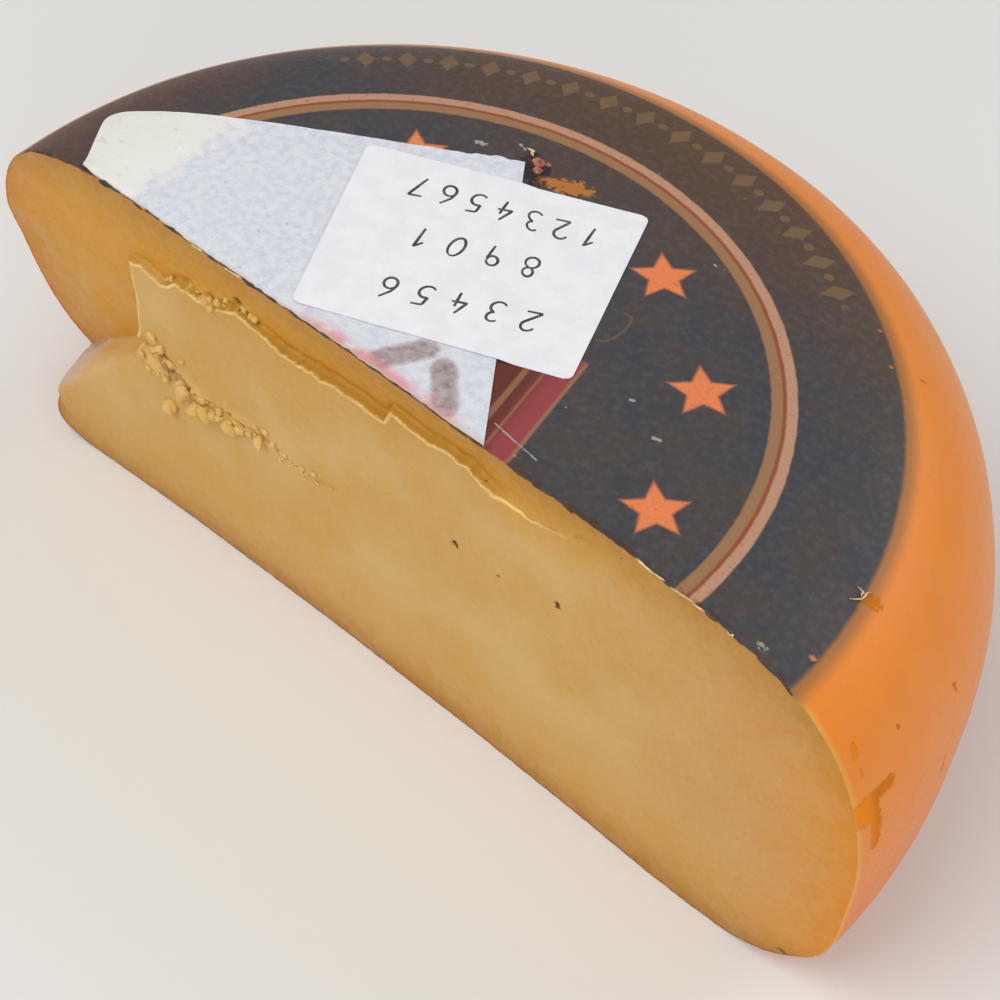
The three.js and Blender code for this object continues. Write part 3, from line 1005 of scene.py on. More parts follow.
@dataclass(frozen=True)
class WaxFinish(Finish):
    """The orange wax coat with the round dark print on its top, its rings, stars and plain marks."""

    orange: tuple = srgb(243, 142, 44)
    deep: tuple = srgb(236, 124, 38)
    rosy: tuple = srgb(240, 148, 76)
    # A painted highlight along the coat's cut edge on the right.
    clear: tuple = srgb(246, 168, 74)
    scar: tuple = srgb(243, 140, 0)
    scar_edge: tuple = srgb(214, 114, 0)
    dark: tuple = srgb(77, 70, 69)
    dark_blue: tuple = srgb(68, 68, 74)
    brown: tuple = srgb(96, 70, 54)
    umber: tuple = srgb(104, 66, 52)
    halo: tuple = srgb(158, 108, 62)
    gold: tuple = srgb(158, 118, 84)
    rust: tuple = srgb(150, 82, 52)
    pale: tuple = srgb(193, 146, 118)
    star: tuple = srgb(236, 135, 84)
    mark: tuple = srgb(132, 104, 72)
    red: tuple = srgb(156, 70, 74)
    fleck: tuple = srgb(176, 174, 164)
    shred: tuple = srgb(80, 56, 42)
    smear: tuple = srgb(208, 128, 48)
    stain: tuple = srgb(40, 34, 36)
    sole: tuple = srgb(150, 104, 44)
    dull: tuple = srgb(196, 130, 56)
    stripe: tuple = srgb(104, 54, 42)
    centre: Point = (-2.5, -6.4)
    disc_radius: float = 103.7
    star_ring: float = 62.7
    star_size: float = 6.9
    star_notch: float = 0.47
    star_first: float = 7.6
    star_up: float = 132.0
    mark_ring: float = 96.7
    scratches: tuple = (
        ((23.6, -3.2, FLAT_TOP), (35.5, -4.6, FLAT_TOP), 0.24, 0.2),
        ((-33.6, 54.8, FLAT_TOP), (-32.0, 55.6, FLAT_TOP), 0.7, 1.2),
        ((48.0, 15.7, FLAT_TOP), (49.2, 16.1, FLAT_TOP), 0.45, 0.5),
        ((38.4, 20.1, FLAT_TOP), (39.2, 20.6, FLAT_TOP), 0.35, 0.4),
        ((91.8, -8.2, 99.6), (93.0, -7.6, 99.6), 0.9, 0.9),
        ((-26.6, 61.3, FLAT_TOP), (-24.6, 60.8, FLAT_TOP), 0.3, 0.4),
        ((26.7, 62.0, 102.4), (30.0, 62.4, 102.4), 0.3, 0.4),
    )
    gashes: tuple = (
        ((120.1, -8.6, 75.2), (120.8, 1.8, 75.2), 1.9, 0.9),
        ((121.2, -3.4, 74.0), (123.8, -3.9, 63.6), 1.75, 0.9),
        ((121.2, -7.6, 72.4), (121.9, -4.2, 71.2), 2.1, 0.9),
        ((119.9, -8.4, 74.0), (120.4, -6.2, 73.2), 2.0, 0.9),
        ((113.9, -4.6, 87.2), (114.9, -5.0, 84.6), 0.8, 0.7),
        ((117.1, -4.9, 82.2), (117.3, -5.0, 81.4), 0.5, 0.6),
        ((116.3, 7.3, 83.3), (116.5, 7.5, 82.7), 0.65, 0.5),
        ((117.0, 28.0, 76.5), (117.2, 28.6, 73.8), 0.7, 0.8),
        ((99.4, 17.0, 97.2), (100.9, 17.6, 96.6), 1.3, 1.8),
        ((60.8, 74.1, 99.3), (61.0, 74.3, 99.1), 0.5, 0.4),
        ((68.6, 67.4, 99.2), (68.8, 67.6, 99.0), 0.6, 0.4),
        ((74.3, 71.7, 96.1), (74.6, 72.0, 95.9), 0.6, 0.4),
        ((122.4, 24.0, 62.0), (123.0, 22.0, 58.0), 0.6, 0.9),
        ((-30.0, 121.0, 60.0), (-22.0, 122.4, 52.0), 0.8, 1.4),
        ((-96.0, 74.0, 70.0), (-94.0, 76.0, 64.0), 0.9, 1.5),
    )
    smears: tuple = (
        ((-15.6, 55.6, FLAT_TOP), (-8.6, 60.0, FLAT_TOP), 1.9, 1.7),
        ((-11.0, 56.6, FLAT_TOP), (-6.0, 60.2, FLAT_TOP), 1.6, 1.5),
    )
    stains: tuple = (
        ((-21.6, 57.4, FLAT_TOP), (-16.2, 54.4, FLAT_TOP), 2.4, 2.2),
        ((-20.6, 60.0, FLAT_TOP), (-16.8, 58.0, FLAT_TOP), 1.7, 2.0),
    )
    flourish: tuple[Point, ...] = (
        (23.2, 27.9), (24.6, 28.8), (25.3, 30.6), (25.5, 33.6), (25.1, 36.2), (24.2, 37.9), (22.6, 37.8),
    )
    patch_middle: tuple = (-10.8, 55.7, FLAT_TOP)

    def star_mask(self, net: Wiring, offset: Socket, turn: Socket) -> Socket:
        """Twelve five-pointed stars on a ring, all upright.

        Formula: the turn is rounded to the nearest of twelve places and gives that star's
        centre; round it, the direction is folded into a tenth of a circle, where a star is
        what lies inside one straight edge.
        """
        steps = net.math("DIVIDE", net.math("SUBTRACT", turn, math.radians(self.star_first)),
                            math.radians(30.0))
        nearest = net.math("MULTIPLY_ADD", net.math("ROUND", steps), math.radians(30.0),
                              math.radians(self.star_first))
        centre = net.add("ShaderNodeCombineXYZ", {
            0: net.product(net.math("COSINE", nearest), self.star_ring),
            1: net.product(net.math("SINE", nearest), self.star_ring),
        })
        local = net.vector("SUBTRACT", offset, centre)
        x, y, _ = net.parts(local)
        away = net.math("SQRT", net.math("MULTIPLY_ADD", x, x, net.product(y, y)))
        angle = net.math("SUBTRACT", net.math("ARCTAN2", y, x), math.radians(self.star_up))
        tenth = math.radians(36.0)
        folded = net.math("PINGPONG", net.math("ADD", angle, 10 * tenth), tenth)
        notch = self.star_notch * self.star_size
        side = Vector((notch * math.cos(tenth) - self.star_size, notch * math.sin(tenth)))
        out = Vector((side.y, -side.x)).normalized()
        reach = net.math("ADD", net.product(net.math("COSINE", folded), out.x),
                            net.product(net.math("SINE", folded), out.y))
        inside = net.math("SUBTRACT", out.x * self.star_size, net.product(away, reach))
        return net.step(inside, -0.5, 0.5)

    def row_of_marks(self, net: Wiring, turn: Socket, away: Socket) -> Socket:
        """A row of lozenges with dots between them, along the part of the band that carries marks."""
        pitch, start, end = 5.6, 55.0, 140.0
        degrees = net.math("MULTIPLY", turn, 180.0 / math.pi)
        cell = net.math("DIVIDE", net.math("SUBTRACT", degrees, start), pitch)
        millimetres = math.radians(pitch) * self.mark_ring
        along = net.product(net.math("PINGPONG", cell, 0.5), millimetres)
        across = net.math("ABSOLUTE", net.math("SUBTRACT", away, self.mark_ring))
        between = net.math("SUBTRACT", 0.5 * millimetres, along)
        lozenge = net.math("ADD", net.math("DIVIDE", between, 2.2),
                              net.math("DIVIDE", across, 4.1))
        dot = net.math("SQRT", net.math("MULTIPLY_ADD", along, along, net.product(across, across)))
        shapes = net.most(net.step(lozenge, 1.1, 0.92), net.step(dot, 1.3, 1.0))
        return net.product(shapes, net.band(degrees, start, end, 0.6))

    def make(self) -> bpy.types.Material:
        """Builds the material: the wax, then the print over it, then wear over both."""
        net = self.begin("orange wax")
        x, y, z = net.parts(net.place)
        offset = net.vector("MULTIPLY", net.vector("SUBTRACT", net.place, (*self.centre, 0.0)), (1, 1, 0))
        ring_x, ring_y, _ = net.parts(offset)
        ragged = net.product(net.math("SUBTRACT", net.mottled(3.0), 0.5), 0.12)
        away = net.math("ADD", net.length(offset), ragged)
        turn = net.math("ARCTAN2", ring_y, ring_x)
        top = net.step(z, 66.0, 70.0)
        spill = net.product(net.step(net.math("DIVIDE", ring_x, away), 0.1, -0.5), 2.4)
        reach = net.math("SUBTRACT", away, spill)
        disc = net.product(net.step(reach, self.disc_radius + 0.6, self.disc_radius - 0.6), top)
        broad = net.mottled(30.0)
        patchy = net.mottled(9.0)
        fine = net.mottled(1.2, 0.3, 0.7, 4.0)
        wax = net.mix(net.step(z, 78.0, 12.0), self.orange, self.deep)
        wax = net.over(wax, self.rosy, broad, 0.35)
        cut_side = net.mix(net.step(z, 16.0, 5.0), self.dull, self.sole)
        wax = net.over(wax, cut_side, net.vertex_mark("cut"))
        # Painted highlight along the right of the coat's cut edge.
        wax = net.over(wax, self.clear, net.vertex_mark("bright"), 0.8)
        wax = net.over(wax, self.deep, patchy, 0.12)
        wax = net.over(wax, self.halo, net.band(reach, 90.0, self.disc_radius + 2.4, 1.9), top, 0.85)
        ink = net.mix(patchy, self.dark, self.dark_blue)
        ink = net.over(ink, self.brown, net.step(y, 40.0, 100.0))
        ink = net.over(ink, self.umber, net.step(ring_x, -74.0, -104.0), 0.85)
        ink = net.over(ink, self.fleck, net.mottled(1.7, 0.4, 0.75, 5.0), 0.06)
        bare = net.product(net.mottled(0.8, 0.55, 0.8), 0.5)
        worn = net.math("SUBTRACT", 1.0, bare)
        ink = net.over(ink, self.mark, self.row_of_marks(net, turn, away), worn, 0.75)
        shake = net.mottled(1.1, 0.3, 0.7)
        rubbed = net.length(net.vector("SUBTRACT", net.place, self.patch_middle))
        unrubbed = net.step(rubbed, 9.0, 12.0)
        ink = net.over(ink, self.star, self.star_mask(net, offset, turn), worn, unrubbed)
        points = [(*point, FLAT_TOP) for point in self.flourish]
        curve = [(*ends, 0.42, 0.15) for ends in zip(points, points[1:])]
        for rows, tint, share in (
            (self.smears, self.smear, 0.75), (self.stains, self.stain, 0.8), (curve, self.mark, 0.45),
        ):
            ink = net.over(ink, tint, net.streaked(shake, rows), share)
        band = net.math("ADD", x, net.math("MULTIPLY_ADD", y, 0.19, -0.6))
        patch = net.product(net.step(y, 22.0, 21.0), net.step(y, -16.0, -15.0))
        blush = net.mix(net.step(band, 21.0, 27.0), self.stripe, self.red)
        ink = net.over(ink, blush, net.band(band, 12.0, 29.8, 0.3), patch)
        for low, high, soft, share in (
            (19.6, 20.9, 0.3, 0.7), (23.4, 24.0, 0.25, 0.6), (29.2, 30.0, 0.3, 0.8),
        ):
            ink = net.over(ink, self.gold, net.band(band, low, high, soft), patch, share)
        ink = net.over(ink, self.gold, net.band(away, 76.4, 79.2, 0.3))
        ink = net.over(ink, self.rust, net.band(away, 78.7, 79.5, 0.25))
        ink = net.over(ink, self.pale, net.band(away, 79.5, 81.7, 0.25), worn)
        shred = net.product(net.vertex_mark("cut"), net.mottled(2.6, 0.42, 0.6))
        ink = net.over(ink, self.shred, shred, 0.8)
        colour = net.mix(disc, wax, ink)
        flecks = net.product(net.specked(6.0, 0.055, 0.3), disc, 0.6)
        scratched = net.most(flecks, net.streaked(shake, self.scratches))
        colour = net.over(colour, self.fleck, scratched, 0.8)
        spots = net.product(net.specked(26.0, 0.03, 0.5), 0.8)
        gash = net.most(net.streaked(shake, self.gashes), spots)
        core = net.product(net.step(gash, 0.5, 1.0), net.step(y, -2.0, -6.0))
        colour = net.over(colour, net.mix(core, self.scar_edge, self.scar), gash, 0.9)
        height = net.math("ADD", net.product(fine, 0.18), net.product(patchy, 0.5))
        height = net.math("SUBTRACT", height, net.product(gash, 0.8))
        height = net.math("ADD", height, net.product(scratched, 0.8))
        roughness = net.math("MULTIPLY_ADD", disc, 0.12, 0.34)
        roughness = net.math("ADD", net.product(fine, 0.08), roughness)
        roughness = net.math("ADD", roughness, net.product(gash, 0.5))
        return net.closed({
            "Base Color": colour, "Roughness": roughness, "Specular IOR Level": 0.22,
            "Coat Weight": 0.04, "Coat Roughness": 0.25,
        }, height, 0.14)


@dataclass(frozen=True)
class PaperFinish(Finish):
    """The thin printed paper: warm white at one end, blue-grey and cloudy at the other, pink at the cut."""

    warm: tuple = srgb(240, 239, 232)
    blue: tuple = srgb(229, 231, 239)
    cloud: tuple = srgb(196, 201, 213)
    grey: tuple = srgb(186, 190, 188)
    mauve: tuple = srgb(180, 152, 152)
    umber: tuple = srgb(128, 112, 104)
    pink: tuple = srgb(232, 132, 144)
    cut: tuple = srgb(214, 190, 160)
    bars: tuple = (
        ((-3.6, -6.6, 0.0), (1.0, 1.6, 0.0), 3.4, 0.4),
        ((7.0, 0.2, 0.0), (14.0, -7.0, 0.0), 3.4, 0.4),
    )

    def make(self) -> bpy.types.Material:
        """Builds the material. The plain slanted bars stand in the place of a picture."""
        net = self.begin("printed paper")
        x, y, _ = net.parts(net.place)
        wavy = net.product(net.math("SUBTRACT", net.mottled(3.0), 0.5), 4.0)
        printed = net.step(net.math("ADD", x, wavy), -75.0, -70.0)
        cloudy = net.product(net.mottled(1.8, 0.32, 0.74, 5.0), 0.55)
        stretched = net.vector("MULTIPLY", net.place, (0.4, 1.0, 1.0))
        dashes = net.mottled(1.8, 0.6, 0.72, place=stretched)
        left = net.over(self.warm, self.grey, dashes, 0.35)
        right = net.mix(cloudy, self.blue, self.cloud)
        colour = net.mix(printed, left, right)
        colour = net.over(colour, self.grey, net.specked(2.6, 0.16, 0.2), printed, 0.6)
        flat = net.vector("MULTIPLY", net.place, (1, 1, 0))
        bars = net.streaked(net.mottled(1.5), self.bars, flat)
        bar = net.product(bars, net.math("SUBTRACT", 1.0, net.product(cloudy, 0.5)))
        speckle = net.mottled(1.6, 0.3, 0.75, 4.0)
        colour = net.over(colour, net.mix(speckle, self.mauve, self.umber), bar, 0.9)
        wash = net.product(net.band(x, -22.0, 18.0, 4.0), net.step(y, -5.4, -9.0),
                              net.mottled(4.0, 0.25, 0.55))
        colour = net.over(colour, self.pink, wash, 0.8)
        colour = net.over(colour, self.cut, net.vertex_mark("torn"), 0.6)
        fibres = net.mottled(0.7, 0.3, 0.7, 4.0)
        inputs = {"Base Color": colour, "Roughness": 0.72, "Specular IOR Level": 0.25}
        return net.closed(inputs, fibres, 0.06)


@dataclass(frozen=True)
class LabelFinish(Finish):
    """The clean white label."""

    white: tuple = srgb(246, 245, 249)
    shade: tuple = srgb(234, 234, 240)

    def make(self) -> bpy.types.Material:
        """Builds the material."""
        net = self.begin("white label")
        colour = net.over(self.white, self.shade, net.mottled(5.0), 0.5)
        fibres = net.mottled(0.6, 0.3, 0.7, 3.0)
        inputs = {"Base Color": colour, "Roughness": 0.6, "Specular IOR Level": 0.3}
        return net.closed(inputs, fibres, 0.03)


@dataclass(frozen=True)
class InkFinish(Finish):
    """Black pen, a little uneven."""

    ink: tuple = srgb(56, 55, 58)
    thin: tuple = srgb(94, 92, 94)

    def make(self) -> bpy.types.Material:
        """Builds the material."""
        net = self.begin("pen ink")
        colour = net.mix(net.mottled(1.5), self.ink, self.thin)
        return net.closed({"Base Color": colour, "Roughness": 0.55})


@dataclass(frozen=True)
class ScrapFinish(Finish):
    """Shreds of the dark film, brown where they are thin, or slivers of pale wax."""

    name: str = "dark film scraps"
    first: tuple = srgb(54, 46, 44)
    second: tuple = srgb(86, 66, 48)

    def make(self) -> bpy.types.Material:
        """Builds the material."""
        net = self.begin(self.name)
        colour = net.mix(net.mottled(2.2), self.first, self.second)
        grain = net.mottled(0.6)
        return net.closed({"Base Color": colour, "Roughness": 0.5}, grain, 0.08)


@dataclass
class PasteBody:
    """The cheese itself: the finely modelled cut in front, closed behind inside the coat."""

    wheel: Wheel
    cut: CutFace
    columns: int = 520
    rows: int = 178
    back_columns: int = 20
    inset: float = 0.35
    back_inset: float = 0.5
    crowding: tuple[float, float, float] = (3.4, 2.6, 2.6)
    halvings: int = 24
    rounds: int = 6

    def shares(self) -> Array:
        """The columns' places across the cut, from 0 to 1, closer together over the torn part."""
        t = np.linspace(0.0, 1.0, 2001)
        x = self.wheel.radius * (2 * t - 1)
        weight = 1.0 + 1.1 * window(x, (-84.0, -78.0), (10.0, 40.0)) + 1.6 * bell(x + 75.2, 2.5)
        total = np.cumsum(weight) - weight[0]
        return np.interp(np.linspace(0.0, total[-1], self.columns), total, t)

    def heights(self, x: Array) -> Array:
        """Every vertex's height.

        Formula: at each place across the cut the rows are at equal steps of a cost, which is the
        length of the wheel's outline so far, plus a * w * tanh((z - c) / w) for the ridge at
        height c and the same for the crack. The cost is inverted by halving.

        Args:
            x: where each vertex is across the cut, as rows x columns.

        Returns:
            The heights, as rows x columns.
        """
        r, z = self.wheel.profile(self.inset)
        outline = np.cumsum(np.hypot(np.gradient(z), 0.35 * np.gradient(r)))
        ridge = np.array(self.cut.ridge[::-1], float)
        crack = np.array(self.cut.crack, float)
        on_ridge = window(x, (-84.0, -77.0), (56.0, 70.0))
        on_crack = window(x, (-86.0, -76.0), (-30.0, -8.0))
        ridge_z, crack_z = np.interp(x, *ridge.T), np.interp(x, *crack.T)
        ridge_rate, crack_rate, width = self.crowding

        def cost(height: Array) -> Array:
            """The cost up to a height."""
            near_ridge = ridge_rate * on_ridge * width * np.tanh((height - ridge_z) / width)
            near_crack = crack_rate * on_crack * width * np.tanh((height - crack_z) / width)
            return np.interp(height, z, outline) + near_ridge + near_crack

        low, high = np.full(x.shape, z[0]), np.full(x.shape, z[-1])
        share = np.linspace(0.0, 1.0, self.rows)[:, None]
        wanted = mixed(cost(low), cost(high), share)
        for _ in range(self.halvings):
            middle = (low + high) / 2
            below = cost(middle) < wanted
            low, high = np.where(below, middle, low), np.where(below, high, middle)
        heights = (low + high) / 2
        heights[0], heights[-1] = z[0], z[-1]
        return heights

    def front(self) -> tuple[Array, dict[str, Array]]:
        """The cut's surface.

        Formula: a row of vertices runs from side to side at each height, denser over the torn
        part; the rows and columns are gathered at the tear, and each vertex takes the cut's depth.

        Returns:
            The grid, rows x columns x 3, and its marks.
        """
        share = self.shares()
        x = np.repeat(self.wheel.radius * (2 * share[None] - 1), self.rows, axis=0)
        outline_z = self.wheel.profile(self.inset)[1]
        ends = [self.cut.side_x(outline_z, side, self.inset) for side in (Side.LEFT, Side.RIGHT)]
        for _ in range(self.rounds):
            z = self.heights(x)
            left, right = (np.interp(z, outline_z, end) for end in ends)
            x = left + (right - left) * share
        moved_x, moved_z = self.cut.gathered(x.ravel(), z.ravel())
        inner = np.zeros(x.shape, bool)
        inner[1:-1, 1:-1] = True
        x = np.where(inner, moved_x.reshape(x.shape), x)
        z = np.where(inner, moved_z.reshape(z.shape), z)
        y = self.cut.depth(x.ravel(), z.ravel())
        marks = self.marks(x.ravel(), z.ravel())
        return np.stack([x, y.reshape(x.shape), z], axis=-1), marks

    def marks(self, x: Array, z: Array) -> dict[str, Array]:
        """The values that the finish reads: nearness to the rind, the broken side, the tear and its rim,
        with painted shade behind the rim, in the pits and on the ledge, and a painted highlight on the
        flap's edge.
        """
        outline = self.cut.outline(self.inset, 3.0)
        edge = to_chain(x, z, np.concatenate([outline, outline[:1]]))[0]
        reach = 15.0 + 8.0 * smoothstep(x, 60.0, 110.0)
        s, _, _, station = self.cut.side_of_tear(x, z)
        on_ledge = self.cut.on_ledge(station)
        off_ledge = (1 - on_ledge) * smoothstep(x, -80.0, -77.0)
        rough = 0.5 + 0.5 * value_noise(x, z, 2.1, 31)
        soft = self.cut.wall_at(x)[0] - self.cut.wall_reach[0]
        along_ridge = off_ledge * window(x, (-69.0, -62.0), (22.0, 36.0))
        spots = bell(x - 47.0, 11.0) * smoothstep(value_noise(x, z - 0.4 * x, 2.6, 24), 0.15, 0.5)
        along_ridge = along_ridge + 0.6 * off_ledge * spots
        deep = 0.8 + 1.4 * rough + 1.6 * bell(x + 54.0, 8.0)
        # Darker golden of the broken cheese along the ridge, partly painted shade of the crevice behind the
        # flap's rim.
        torn = (along_ridge + 0.6 * off_ledge * smoothstep(-x, 66.0, 69.0)) * smoothstep(s, -0.36, -0.26)
        torn = torn * (1 - 0.5 * smoothstep(s, -0.12, 0.12)) * (1 - smoothstep(s, 0.3 * deep, deep))
        # A painted highlight: the pale line where the flap's torn edge catches the light.
        lip = off_ledge * window(s, (-1.15, -0.75), (-0.3, -0.2))
        lip = lip * (0.45 + 0.55 * rough) * (1 - smoothstep(x, 34.0, 52.0))
        chunks = bell(x + 52.0, 9.0) * window(s, (-0.6, 0.0), (1.6, 3.0))
        patches = smoothstep(value_noise(x, z, 1.4, 12), 0.1, 0.5)
        # Pale broken cheese on chunks, the chip and crumbs, plus the painted highlight of the flap's edge.
        rim = np.maximum(0.6 * lip, 0.8 * off_ledge * chunks * patches)
        rim = np.maximum(rim, 0.7 * (1 - smoothstep(self.cut.chip(x, z), 0.7, 1.0)) * (s < 0))
        distance, gape, rubble = self.cut.cracked(x, z)
        rim = np.maximum(rim, 0.75 * rubble * smoothstep(np.abs(value_noise(x, z, 2.4, 19)), 0.05, 0.5))
        # Painted shade in the crack, the eyes and a pit by the right foot.
        pit = 0.5 * gape * bell(distance, 0.25 + 0.4 * gape)
        for eye_x, eye_z, radius in self.cut.eyes:
            pit = np.maximum(pit, bell(np.hypot(x - eye_x, z - eye_z), radius * 0.62))
        pit = np.maximum(pit, 0.9 * bell(np.hypot(x - 113.3, (z - 10.6) * 2.0), 1.2))
        return {
            "near_rind": 0.55 * np.exp(-(edge / reach) ** 2) + 0.45 * np.exp(-(edge / 6.0) ** 2),
            "upper": smoothstep(s, -0.1 - soft, 0.3 + soft),
            "torn": torn,
            "rim": rim,
            "lip": lip,
            "pit": pit,
            # Painted shade on the ledge's top at the far left.
            "greyed": on_ledge * window(s, (-4.5, -1.5), (0.0, 1.0)) * smoothstep(-x, 96.0, 104.0),
        }

    def shape(self) -> Shape:
        """The closed body: the cut, a sweep round the back, and a fan of triangles above and below."""
        front, marks = self.front()
        rows, columns = front.shape[:2]
        start = np.arctan2(front[:, -1, 1], front[:, -1, 0])
        end = np.arctan2(front[:, 0, 1], front[:, 0, 0]) % (2 * math.pi)
        turn = start[:, None] + (end - start)[:, None] * np.linspace(0.0, 1.0, self.back_columns)[1:-1]
        share = np.linspace(0.0, 1.0, self.back_columns)[1:-1]
        height = mixed(front[:, -1:, 2], front[:, :1, 2], share)
        girth = self.wheel.girth(height, self.back_inset)
        back = np.stack([girth * np.cos(turn), girth * np.sin(turn), height], axis=-1)
        size, width = rows * columns, self.back_columns - 2
        number = np.arange(size).reshape(rows, columns)
        behind = size + np.arange(rows * width).reshape(rows, width)
        around = np.concatenate([number[:, -1:], behind, number[:, :1]], axis=1)
        sweep = between(around)
        middle = size + rows * width
        fans = []
        for row, hub in ((0, middle), (-1, middle + 1)):
            loop = np.concatenate([number[row, :-1], around[row, :-1]])
            fan = np.stack([np.full(len(loop), hub), np.roll(loop, -1), loop], axis=1)
            fans.append(fan if row == 0 else fan[:, ::-1])
        hubs = [[0.0, 30.0, self.back_inset], [0.0, 30.0, self.wheel.height - self.back_inset]]
        vertices = np.concatenate([front.reshape(-1, 3), back.reshape(-1, 3), hubs])
        padding = np.zeros(len(vertices) - size)
        return Shape(
            vertices,
            np.concatenate([grid_faces(rows, columns), sweep.reshape(-1, 4)]),
            np.concatenate(fans),
            {name: np.concatenate([values, padding]) for name, values in marks.items()},
        ).outward()


@dataclass
class WaxCoat:
    """The thin coat round the wheel, open at the cut."""

    wheel: Wheel
    cut: CutFace
    columns: int = 230
    side_rows: int = 130
    flat_rows: int = 11
    thickness: float = 0.45

    def layer(self, inset: float) -> Array:
        """One side of the coat.

        Formula: each height's arc runs from the cut's right end round the back to its left end.
        The flats are that arc drawn in towards the middle of the cut's edge, with the ends of
        each arc shifted onto the cut.

        Args:
            inset: how far inside the wheel's surface it lies.

        Returns:
            The grid, rows x columns x 3; its first and last rows are one point each.
        """
        r, z = self.wheel.profile(inset)
        weight = 1.0 + 2.5 * np.exp(-((z - 10.0) / 8.0) ** 2)
        cost = np.hypot(np.gradient(z), np.gradient(r)) * weight
        total = np.cumsum(cost) - cost[0]
        wanted = np.linspace(0.0, total[-1], self.side_rows)
        girth, heights = np.interp(wanted, total, r), np.interp(wanted, total, z)
        ends = []
        for side in (Side.RIGHT, Side.LEFT):
            x = self.cut.side_x(heights, side, inset)
            ends.append(np.arctan2(self.cut.depth(x, heights), x))
        start, end = ends[0], ends[1] % (2 * math.pi)
        t = np.linspace(0.0, 1.0, self.columns)
        turn = start[:, None] + (end - start)[:, None] * t
        dents = 0.16 * value_noise(turn * 100.0, heights[:, None] + 0 * turn, 22.0, 41)
        girth = girth[:, None] + dents * np.clip(12.0 * t * (1 - t), 0.0, 1.0)
        side_grid = np.stack([
            girth * np.cos(turn), girth * np.sin(turn), np.repeat(heights[:, None], self.columns, axis=1),
        ], axis=-1)
        foot = self.flat(side_grid[0], inset, t)
        head = self.flat(side_grid[-1], self.wheel.height - inset, t)[::-1]
        return np.concatenate([foot[:-1], side_grid, head[1:]])

    def flat(self, arc: Array, z: float, t: Array) -> Array:
        """A flat end of the wheel, from the middle of the cut's edge out to the arc."""
        share = np.linspace(0.0, 1.0, self.flat_rows)[:, None]
        middle = np.array([0.0, float(self.cut.depth(np.zeros(1), np.full(1, z))[0]), z])
        grid = middle + share[..., None] * (arc - middle)
        for column, nearness in ((0, 1 - t / 0.2), (-1, 1 - (1 - t) / 0.2)):
            edge_x = grid[:, column, 0]
            shift = self.cut.depth(edge_x, np.full(len(edge_x), z)) - grid[:, column, 1]
            grid[:, :, 1] += shift[:, None] * np.clip(nearness, 0.0, 1.0) ** 2
        return grid

    def shape(self) -> Shape:
        """The closed shell: the outer and the inner layer, joined along the cut."""
        layers = [self.layer(inset) for inset in (0.0, self.thickness)]
        rows, columns = layers[0].shape[:2]
        inner_size = (rows - 2) * columns + 2
        number = np.zeros((rows, columns), int)
        number[1:-1] = 1 + np.arange((rows - 2) * columns).reshape(rows - 2, columns)
        number[-1] = inner_size - 1
        cells = between(number)
        quads = cells[1:-1].reshape(-1, 4)
        triangles = np.concatenate([cells[0][:, [0, 2, 3]], cells[-1][:, [0, 1, 2]]])
        loop = np.concatenate([number[:-1, 0], number[:0:-1, -1]])
        after = np.roll(loop, -1)
        rim = np.stack([loop, loop + inner_size, after + inner_size, after], axis=1)
        vertices = np.concatenate([
            np.concatenate([layer[0, :1], layer[1:-1].reshape(-1, 3), layer[-1, :1]]) for layer in layers
        ])
        column = np.minimum(np.arange(columns), columns - 1 - np.arange(columns))
        near_cut = np.clip(1.0 - column / 2.5, 0.0, 1.0) * np.ones((rows - 2, 1))
        near_cut = np.concatenate([[1.0], near_cut.ravel(), [1.0]])
        near_cut = np.tile(near_cut, 2) * (1 - smoothstep(vertices[:, 2], 10.0, 18.0))
        return Shape(
            vertices,
            np.concatenate([quads, quads[:, ::-1] + inner_size, rim]),
            np.concatenate([triangles, triangles[:, ::-1] + inner_size]),
            {"cut": near_cut},
        ).outward()


